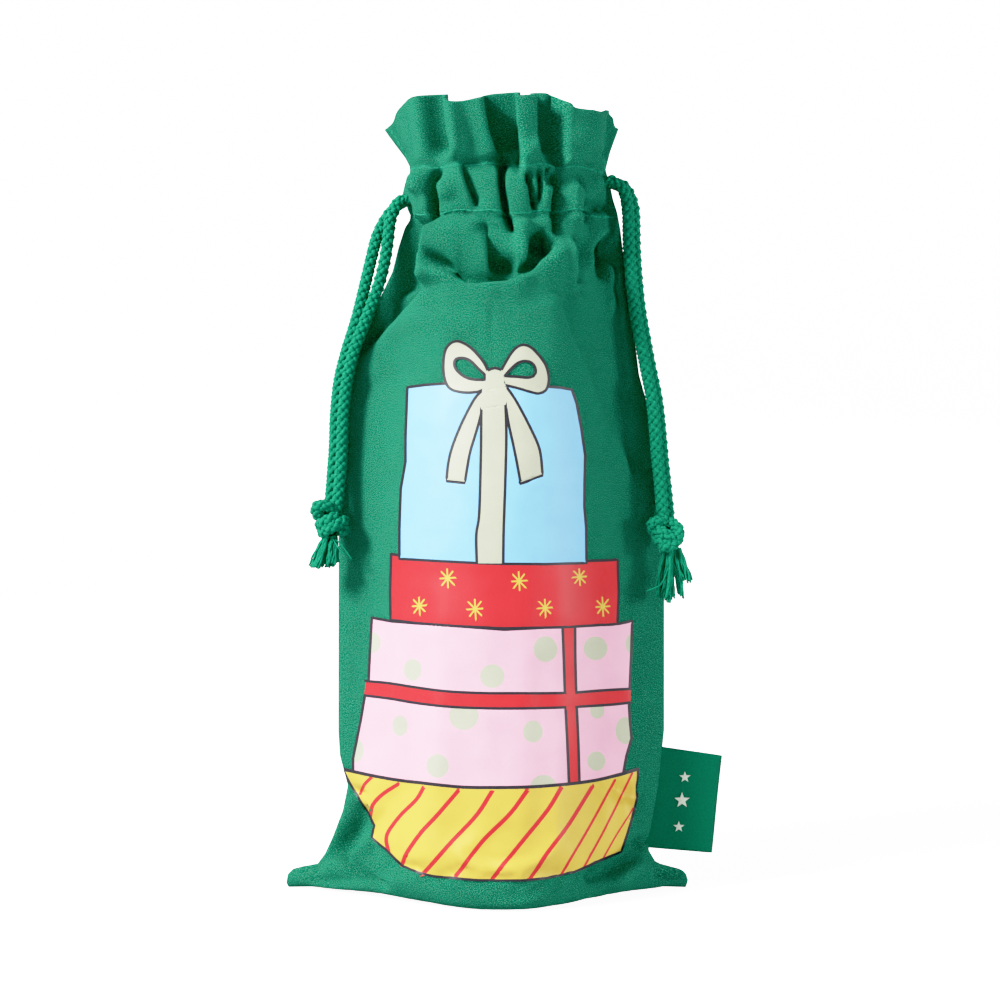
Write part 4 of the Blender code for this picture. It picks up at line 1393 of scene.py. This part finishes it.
def print_triangles(layers):
    """Flat triangles that follow every printed line, and what is painted on each."""
    flat = []
    edges = []
    for _, shapes in layers:
        for shape in shapes:
            line = stroke_sides(*shape[1:]) if isinstance(shape, tuple) else shape
            start = len(flat)
            flat += [Vector(p) for p in line]
            numbers = list(range(start, len(flat)))
            edges += list(zip(numbers, numbers[1:] + numbers[:1]))
    for r, z in enumerate(np.arange(10.0, 220.0, FILM_CELL * 0.87)):
        for x in np.arange(-64.0 + (r % 2) * FILM_CELL / 2, 54.0, FILM_CELL):
            flat.append(Vector((x, z)))
    spots, _, faces, _, _, _ = delaunay_2d_cdt(flat, edges, [], 0, 0.01, False)
    faces = [face for face in faces if len(face) == 3]
    places = np.array([tuple(p) for p in spots])
    return spots, faces, painted_kinds(layers, places[np.array(faces)].mean(axis=1))


def painted_kinds(layers, middles):
    """The layer that shows at each triangle's middle, or "bare" where none does."""
    kinds = np.full(len(middles), "bare", dtype="U12")
    for kind, shapes in layers:
        kind, _, only_on = kind.partition(":")
        for shape in shapes:
            line = shape[1] if isinstance(shape, tuple) else np.array(shape)
            low, high = line.min(axis=0) - 2, line.max(axis=0) + 2
            near = np.where(((middles > low) & (middles < high)).all(axis=1))[0]
            hit = near[inside_shape(middles[near], shape)]
            if only_on:
                hit = hit[kinds[hit] == only_on]
            kinds[hit] = kind
    return kinds


def film_normals(hits, faces):
    """Smooth normals of the whole print at every spot that meets the cloth."""
    seen = [k for k, hit in enumerate(hits) if hit is not None]
    number = {k: n for n, k in enumerate(seen)}
    whole = bpy.data.meshes.new("whole_print")
    whole.from_pydata([hits[k] for k in seen], [],
                      [tuple(number[k] for k in face) for face in faces])
    normals = {k: whole.vertices[n].normal.copy() for k, n in number.items()}
    bpy.data.meshes.remove(whole)
    return normals


def film_piece(kind, faces, spots, hits, normals):
    """One colour's film, just above the cloth, with the flat drawing as its UV map."""
    used = sorted({k for face in faces for k in face})
    place = {k: n for n, k in enumerate(used)}
    name = "print_outlines" if kind == "outline" else kind.replace("film", "print")
    mesh = bpy.data.meshes.new(name)
    mesh.from_pydata([hits[k] + normals[k] * FILM_LIFT * MM for k in used], [],
                     [tuple(place[k] for k in face) for face in faces])
    layer = mesh.uv_layers.new(name="flat")
    for corner, loop in zip(layer.data, mesh.loops):
        spot = spots[used[loop.vertex_index]]
        corner.uv = (spot[0] * MM, spot[1] * MM)
    mesh.shade_smooth()
    mesh.normals_split_custom_set_from_vertices([normals[k] for k in used])
    finish_name = "print_outline" if kind == "outline" else kind
    piece = new_object(name, mesh, film_material(finish_name, FILM_COLOURS[kind]))
    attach(piece, "bag")
    if kind in FILM_NODES:
        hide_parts(FILM_NODES[kind])


def make_print(cloth):
    """Printed film: every colour's own mesh, lying on the front cloth's folds."""
    spots, faces, kinds = print_triangles(print_layers())
    tree = surface_tree(cloth)
    hits = [sight_hit(tree, p[0], p[1]) for p in spots]
    groups = {}
    for face, kind in zip(faces, kinds):
        if kind == "bare" or any(hits[k] is None for k in face):
            continue
        depths = [hits[k].y for k in face]
        if max(depths) - min(depths) <= FILM_STEEP * MM:
            groups.setdefault(str(kind), []).append(face)
    normals = film_normals(hits, [face for group in groups.values() for face in group])
    for kind, group in sorted(groups.items()):
        film_piece(kind, group, spots, hits, normals)


# ------------------------------------------------------------------ drawcords
# Route points in mm: the CAD cords' own, with the back strands drawn in behind the
# front ones as the photograph shows them.
LEFT_EXIT = (-39.5, 3.0, 274.6)
LEFT_EXIT_WAY = (-0.95, 0.0, -0.31)
RIGHT_EXIT = (41.0, 3.0, 281.8)
RIGHT_EXIT_WAY = (1.0, 0.0, 0.05)
LEFT_FRONT_ROUTE = (
    (-45.0, -4.6, 267.4), (-46.2, -5.6, 258.0), (-47.6, -6.2, 249.0),
    (-50.2, -6.8, 239.2), (-54.6, -7.6, 227.2), (-59.0, -8.2, 215.6),
    (-62.1, -8.6, 203.2), (-63.7, -8.8, 189.2), (-64.1, -8.8, 177.2),
    (-64.9, -9.2, 165.2), (-65.7, -10.4, 155.4))
LEFT_BACK_ROUTE = (
    (-46.6, 2.4, 268.8), (-50.6, 0.6, 261.0), (-52.9, -1.4, 252.0),
    (-55.6, -3.0, 240.0), (-58.8, -4.2, 226.8), (-62.4, -4.8, 215.0),
    (-65.4, -5.0, 203.0), (-66.9, -5.0, 189.2), (-67.3, -5.1, 177.2),
    (-68.1, -5.4, 165.2), (-68.8, -6.2, 155.4))
RIGHT_FRONT_ROUTE = (
    (47.6, -4.2, 278.4), (49.2, -5.4, 270.0), (49.5, -6.4, 257.2), (50.3, -7.0, 245.2),
    (51.8, -7.6, 231.2), (53.9, -8.2, 219.2), (56.2, -8.8, 207.2), (58.5, -9.4, 195.2),
    (59.7, -9.8, 183.2), (60.7, -10.2, 171.2), (61.9, -10.8, 159.2),
    (62.5, -11.8, 150.6))
RIGHT_BACK_ROUTE = (
    (48.4, 2.0, 280.2), (51.8, 0.4, 272.0), (52.2, -1.4, 257.2), (52.8, -2.4, 245.2),
    (54.2, -3.0, 231.2), (56.2, -3.6, 219.2), (58.4, -4.2, 207.2), (60.8, -4.8, 195.2),
    (62.1, -5.4, 183.2), (63.1, -6.0, 171.2), (64.3, -6.8, 159.2), (65.1, -7.6, 150.6))
LEFT_KNOT = (-68.4, -11.4, 146.6)
RIGHT_KNOT = (65.3, -12.8, 141.6)
BRAID_CORE = 1.2          # radius of the braid's core
BRAID_RISE = 1.44         # how far its yarns lie from the middle, and how far they weave
BRAID_WEAVE = 0.46
BRAID_YARN = (0.84, 0.60)               # half-width and half-thickness of a yarn
STRAND_SIZE = 1.08        # how much fuller than that the hanging strands are
BRAID_PITCH = 14.0        # length of one turn of the braid's yarns
KNOT_PITCH = 11.0         # the same where the cord is knotted
YARN_STEP = 0.45          # distance between the braid's points


def curve_points(route, step):
    """Evenly spaced points on the smooth curve through a route, in mm."""
    route = [np.array(p, float) for p in route]
    dense = [on_curve(route, k, t) for k in range(len(route) - 1)
             for t in np.linspace(0, 1, 24, endpoint=False)]
    dense = np.array(dense + [route[-1]])
    along = distance_along(dense)
    where = np.linspace(0, along[-1], max(4, int(along[-1] / step)))
    return np.stack([np.interp(where, along, dense[:, k]) for k in range(3)], axis=1)


def carried_frames(points):
    """Tangent and two cross directions at each point, turning as little as possible."""
    tangent = np.gradient(points, axis=0)
    tangent /= np.linalg.norm(tangent, axis=1, keepdims=True)
    side = np.zeros_like(points)
    first = np.cross(tangent[0], (0.0, 1.0, 0.0))
    if np.linalg.norm(first) < 0.1:
        first = np.cross(tangent[0], (1.0, 0.0, 0.0))
    side[0] = first / np.linalg.norm(first)
    for k in range(1, len(points)):
        carried = side[k - 1] - tangent[k] * np.dot(side[k - 1], tangent[k])
        side[k] = carried / np.linalg.norm(carried)
    return tangent, side, np.cross(tangent, side)


def sweep(points, first, second, wide, thick, sides=8):
    """Vertices and faces of a tube of oval section, with closed ends."""
    turns = np.arange(sides) * 2 * pi / sides
    rings = (points[:, None, :]
             + first[:, None, :] * (np.cos(turns)[None, :, None] * thick)
             + second[:, None, :] * (np.sin(turns)[None, :, None] * wide))
    last = (len(points) - 1) * sides
    faces = ring_faces(len(points), sides)
    faces.append(tuple(range(sides))[::-1])
    faces.append(tuple(range(last, last + sides)))
    return rings.reshape(-1, 3), faces


def joined_mesh(name, parts, finish):
    """One object from several (vertices, faces) parts in mm."""
    points = np.concatenate([p for p, _ in parts]) * MM
    faces = []
    start = 0
    for part_points, part_faces in parts:
        faces += [tuple(k + start for k in face) for face in part_faces]
        start += len(part_points)
    mesh = bpy.data.meshes.new(name)
    mesh.from_pydata([tuple(p) for p in points], [], faces)
    mesh.shade_smooth()
    return new_object(name, mesh, finish)


def braid(centre, size=1.0, pitch=BRAID_PITCH, start_turn=0.0):
    """Eight flat yarns plaited over and under each other round a core."""
    _, side, other = carried_frames(centre)
    along = distance_along(centre)
    parts = [sweep(centre, side, other, BRAID_CORE * size, BRAID_CORE * size)]
    for hand in (1, -1):
        for k in range(4):
            turn = hand * 2 * pi * along / pitch + 2 * pi * k / 4 + start_turn
            rise = BRAID_RISE + hand * BRAID_WEAVE * np.cos(8 * pi * along / pitch)
            out = side * np.cos(turn)[:, None] + other * np.sin(turn)[:, None]
            points = centre + out * rise[:, None] * size
            way = np.gradient(points, axis=0)
            way /= np.linalg.norm(way, axis=1, keepdims=True)
            across = np.cross(way, out)
            across /= np.linalg.norm(across, axis=1, keepdims=True)
            parts.append(sweep(points, out, across, BRAID_YARN[0] * size,
                               BRAID_YARN[1] * size))
    return parts


def strand_route(exit_spot, way, route, front):
    """The whole centreline of a strand, from the bag's slit to its knot."""
    sign = -1 if front else 1
    start = np.array((exit_spot[0], sign * exit_spot[1], exit_spot[2]))
    way = np.array(way)
    inside = np.array(LEFT_KNOT if exit_spot[0] < 0 else RIGHT_KNOT)
    last = np.array(route[-1]) * (0.5, 0.4, 0.0) + inside * (0.5, 0.6, 1.0)
    return [start + 0.2 * way, start + 2.6 * way] + list(route) + [last + (0, 0, 3.0)]


def make_cord_loop(name, exit_spot, way, node, z, finish):
    """The part of a cord that runs round inside the channel, both ends at one slit."""
    side = -1 if exit_spot[0] < 0 else 1
    route = []
    for sign in (-1, 1):
        start = np.array((exit_spot[0], sign * exit_spot[1], exit_spot[2]))
        ends = [start + 0.2 * np.array(way), start - 3.0 * np.array(way),
                np.array((side * 31.0, sign * 5.2, z))]
        turns = np.linspace(radians(26), radians(180), 16)
        ring = [np.array((side * 27.5 * cos(t), sign * 17.5 * sin(t), z)) for t in turns]
        half = ends + ring
        route += half if sign < 0 else half[:-1][::-1]
    centre = curve_points(route, 0.8)
    declare(joined_mesh(name, braid(centre), finish), "bag", "cord", node)


def coil_route(middle, axis, radii, turns, rise, begin=0.0, tuck=0.55):
    """A coil round a tilted axis with both ends tucked in, for the knots."""
    axis = Vector(axis).normalized()
    side = axis.cross(Vector((0, 1, 0))).normalized()
    other = axis.cross(side)
    count = int(22 * turns)
    route = []
    for k in range(count + 1):
        t = k / count
        turn = begin + 2 * pi * turns * t
        near_end = min(t, 1 - t) * turns
        squeeze = tuck + (1 - tuck) * min(1.0, near_end / 0.28)
        spot = (Vector(middle) + side * radii[0] * cos(turn) * squeeze
                + other * radii[1] * sin(turn) * squeeze + axis * rise * (t - 0.5))
        route.append(tuple(spot))
    return route


# Each knot: its middle, its coil (size, then shift from the middle, axis, radii, turns,
# rise and first turn) and the lobes the cord makes beside it (size, then shifts).
KNOTS = {
    "left": (LEFT_KNOT,
             (1.06, (0.9, 0.0, -1.4), (-0.36, 0.05, 1.0), (4.5, 3.7), 2.05, 6.4, 2.2),
             ((1.04, ((1.6, 0.6, 4.6), (-1.4, -2.0, 6.6), (-5.0, -2.4, 6.4),
                      (-5.4, -0.8, 3.4), (-2.0, 0.4, 1.6))),)),
    "right": (tuple(np.array(RIGHT_KNOT) + (-1.4, 0.0, 0.3)),
              (1.04, (-0.2, 0.0, -0.6), (0.62, -0.10, 0.80), (4.4, 3.8), 1.75, 5.6, 0.6),
              ((1.06, ((-2.6, -2.6, -4.4), (1.6, -3.4, -4.2), (4.4, -2.6, -1.2),
                       (4.4, -1.2, 2.4), (1.6, 0.6, 4.8))),
               (0.9, ((0.6, 0.8, 4.0), (-2.8, -1.6, 5.4), (-5.8, -2.0, 4.4),
                      (-5.0, -0.6, 1.2), (-1.4, 0.4, -0.8))))),
}
# Each tassel's bunches: shift from the knot to the top, the foot, its reach, how many
# bundles, yarns in each, the seed, and the shifts of its stray yarns.
TASSELS = {
    "left": (
        ((-0.2, 0.0, -5.2), (-71.4, -11.8, 129.0), (5.6, 4.0), 16, 6, 5, (
            ((1.5, -2.2, -6.4), (4.6, -3.2, -8.8), (8.6, -3.4, -14.6)),
            ((1.2, -2.6, -6.6), (3.6, -3.9, -10.2), (6.2, -4.2, -12.6)))),),
    "right": (
        ((2.2, 0.0, -5.0), (71.2, -12.8, 122.6), (2.8, 3.2), 7, 7, 19, ()),
        ((0.4, 0.0, -5.2), (65.0, -12.8, 116.2), (4.8, 4.0), 12, 7, 9, (
            ((-0.5, -2.0, -14.0), (-4.0, -3.0, -19.4), (-9.4, -3.4, -21.8)),
            ((-0.7, -2.2, -13.0), (-3.6, -3.2, -18.8), (-7.6, -3.6, -21.2))))),
}


def beside(middle, shifts):
    """Spots given by their shifts from a middle."""
    return [tuple(a + b for a, b in zip(middle, shift)) for shift in shifts]


def make_knots(finish):
    """The two knots, each coiled from the cord itself, with its turned-over lobes."""
    made = []
    for side, (middle, (size, shift, *coil), lobes) in KNOTS.items():
        route = coil_route(beside(middle, [shift])[0], *coil)
        parts = braid(curve_points(route, YARN_STEP), size, KNOT_PITCH)
        for lobe_size, shifts in lobes:
            route = beside(middle, shifts)
            parts += braid(curve_points(route, YARN_STEP), lobe_size, KNOT_PITCH)
        knot = joined_mesh(side + "_knot_cord", parts, finish)
        made.append(declare(knot, side + "_drawcord", "cord", side + "_knot"))
    return made


def tassel_yarns(top, foot, reach, bundles, each, seed, strays):
    """Cut yarn ends below a knot, in loose bundles of uneven length."""
    draw = random.Random(seed)
    top, foot = np.array(top), np.array(foot)
    parts = []
    for b in range(bundles):
        turn = 2 * pi * (b + 0.5 * draw.random()) / bundles * 1.618 * 2
        spread = sqrt((b + 0.6) / bundles)
        root = top + np.array((cos(turn) * 2.3, sin(turn) * 2.1, 0)) * spread
        end = foot + np.array((cos(turn) * reach[0], sin(turn) * reach[1], 0)) * spread
        end[2] += draw.uniform(-0.6, 1.7) + 1.1 * spread * abs(cos(turn))
        bend = np.array((draw.uniform(-0.9, 0.9), draw.uniform(-0.7, 0.7), 0))
        for _ in range(each):
            jitter = np.array((draw.uniform(-0.75, 0.75), draw.uniform(-0.75, 0.75), 0))
            tip = end + jitter * 1.25 + np.array((0, 0, draw.uniform(-0.7, 0.9)))
            middle = (root + end) / 2 + bend + jitter * 0.8
            twist = draw.uniform(0, 6.28)
            points = curve_points([root + jitter * 0.4, middle, tip], 0.5)
            share = np.linspace(0, 1, len(points))
            points[:, 0] += 0.16 * np.sin(share * 14 + twist)
            points[:, 1] += 0.16 * np.cos(share * 14 + twist)
            _, side, other = carried_frames(points)
            parts.append(sweep(points, side, other, 0.40, 0.40, 5))
    for route in strays:
        points = curve_points(route, 0.5)
        _, side, other = carried_frames(points)
        parts.append(sweep(points, side, other, 0.36, 0.36, 5))
    return parts


def make_tassels(finish):
    """The frayed yarn ends below each knot; the right one hangs in two bunches."""
    made = []
    for side, middle in (("left", LEFT_KNOT), ("right", RIGHT_KNOT)):
        parts = []
        for shift, *bunch, strays in TASSELS[side]:
            top = beside(middle, [shift])[0]
            parts += tassel_yarns(top, *bunch, [beside(middle, way) for way in strays])
        tassel = joined_mesh(side + "_tassel_yarns", parts, finish)
        made.append(declare(tassel, side + "_drawcord", "cord", side + "_tassel"))
    return made


def make_cords(finish):
    """Four braided strands, two a side, each pair ending in one knot and tassel."""
    knots = make_knots(finish)
    tassels = make_tassels(finish)
    plans = (
        ("left", "front", LEFT_EXIT, LEFT_EXIT_WAY, LEFT_FRONT_ROUTE),
        ("left", "back", LEFT_EXIT, LEFT_EXIT_WAY, LEFT_BACK_ROUTE),
        ("right", "front", RIGHT_EXIT, RIGHT_EXIT_WAY, RIGHT_FRONT_ROUTE),
        ("right", "back", RIGHT_EXIT, RIGHT_EXIT_WAY, RIGHT_BACK_ROUTE),
    )
    for number, (side, face, exit_spot, way, route) in enumerate(plans):
        whole = strand_route(exit_spot, way, route, face == "front")
        centre = curve_points(whole, YARN_STEP)
        name = side + "_" + face + "_cord"
        strand = joined_mesh(name, braid(centre, STRAND_SIZE, BRAID_PITCH, 0.5 * number), finish)
        declare(strand, side + "_drawcord", "cord", side + "_" + face + "_strand")
    make_cord_loop("left_loop_cord", LEFT_EXIT, LEFT_EXIT_WAY, "left_cord_loop", 276.0,
                   finish)
    make_cord_loop("right_loop_cord", RIGHT_EXIT, RIGHT_EXIT_WAY, "right_cord_loop", 282.2,
                   finish)


# ------------------------------------------------------------------ the whole bag
def make_bag():
    """Every piece of the bag, with its material, its body and its CAD nodes."""
    cotton = cotton_material("green_cotton", flat_mm, 0.8)
    plain = cotton_material("green_cotton_inside", object_mm, 0.5)
    thread = yarn_material("stitch_thread", (0.006, 0.18, 0.105, 1), (0.05, 0.40, 0.26, 1))
    cord = yarn_material("cord_yarn", (0.0004, 0.045, 0.022, 1), (0.026, 0.375, 0.215, 1))
    satin = satin_material()
    white = yarn_material("label_stars", (0.45, 0.52, 0.45, 1), (0.62, 0.70, 0.62, 1))
    grids = settled_panels()
    front, back = make_cloth(grids, cotton)
    for piece, face, corner in ((front, "front", "left"), (back, "back", "right")):
        declare(piece, "bag", "cotton", face + "_panel", face + "_casing",
                face + "_collar", corner + "_bottom_corner")
    make_inner_parts(grids, plain)
    make_stitches(grids, thread)
    make_print(front)
    make_label(satin, white)
    make_cords(cord)


make_stage()
make_bag()
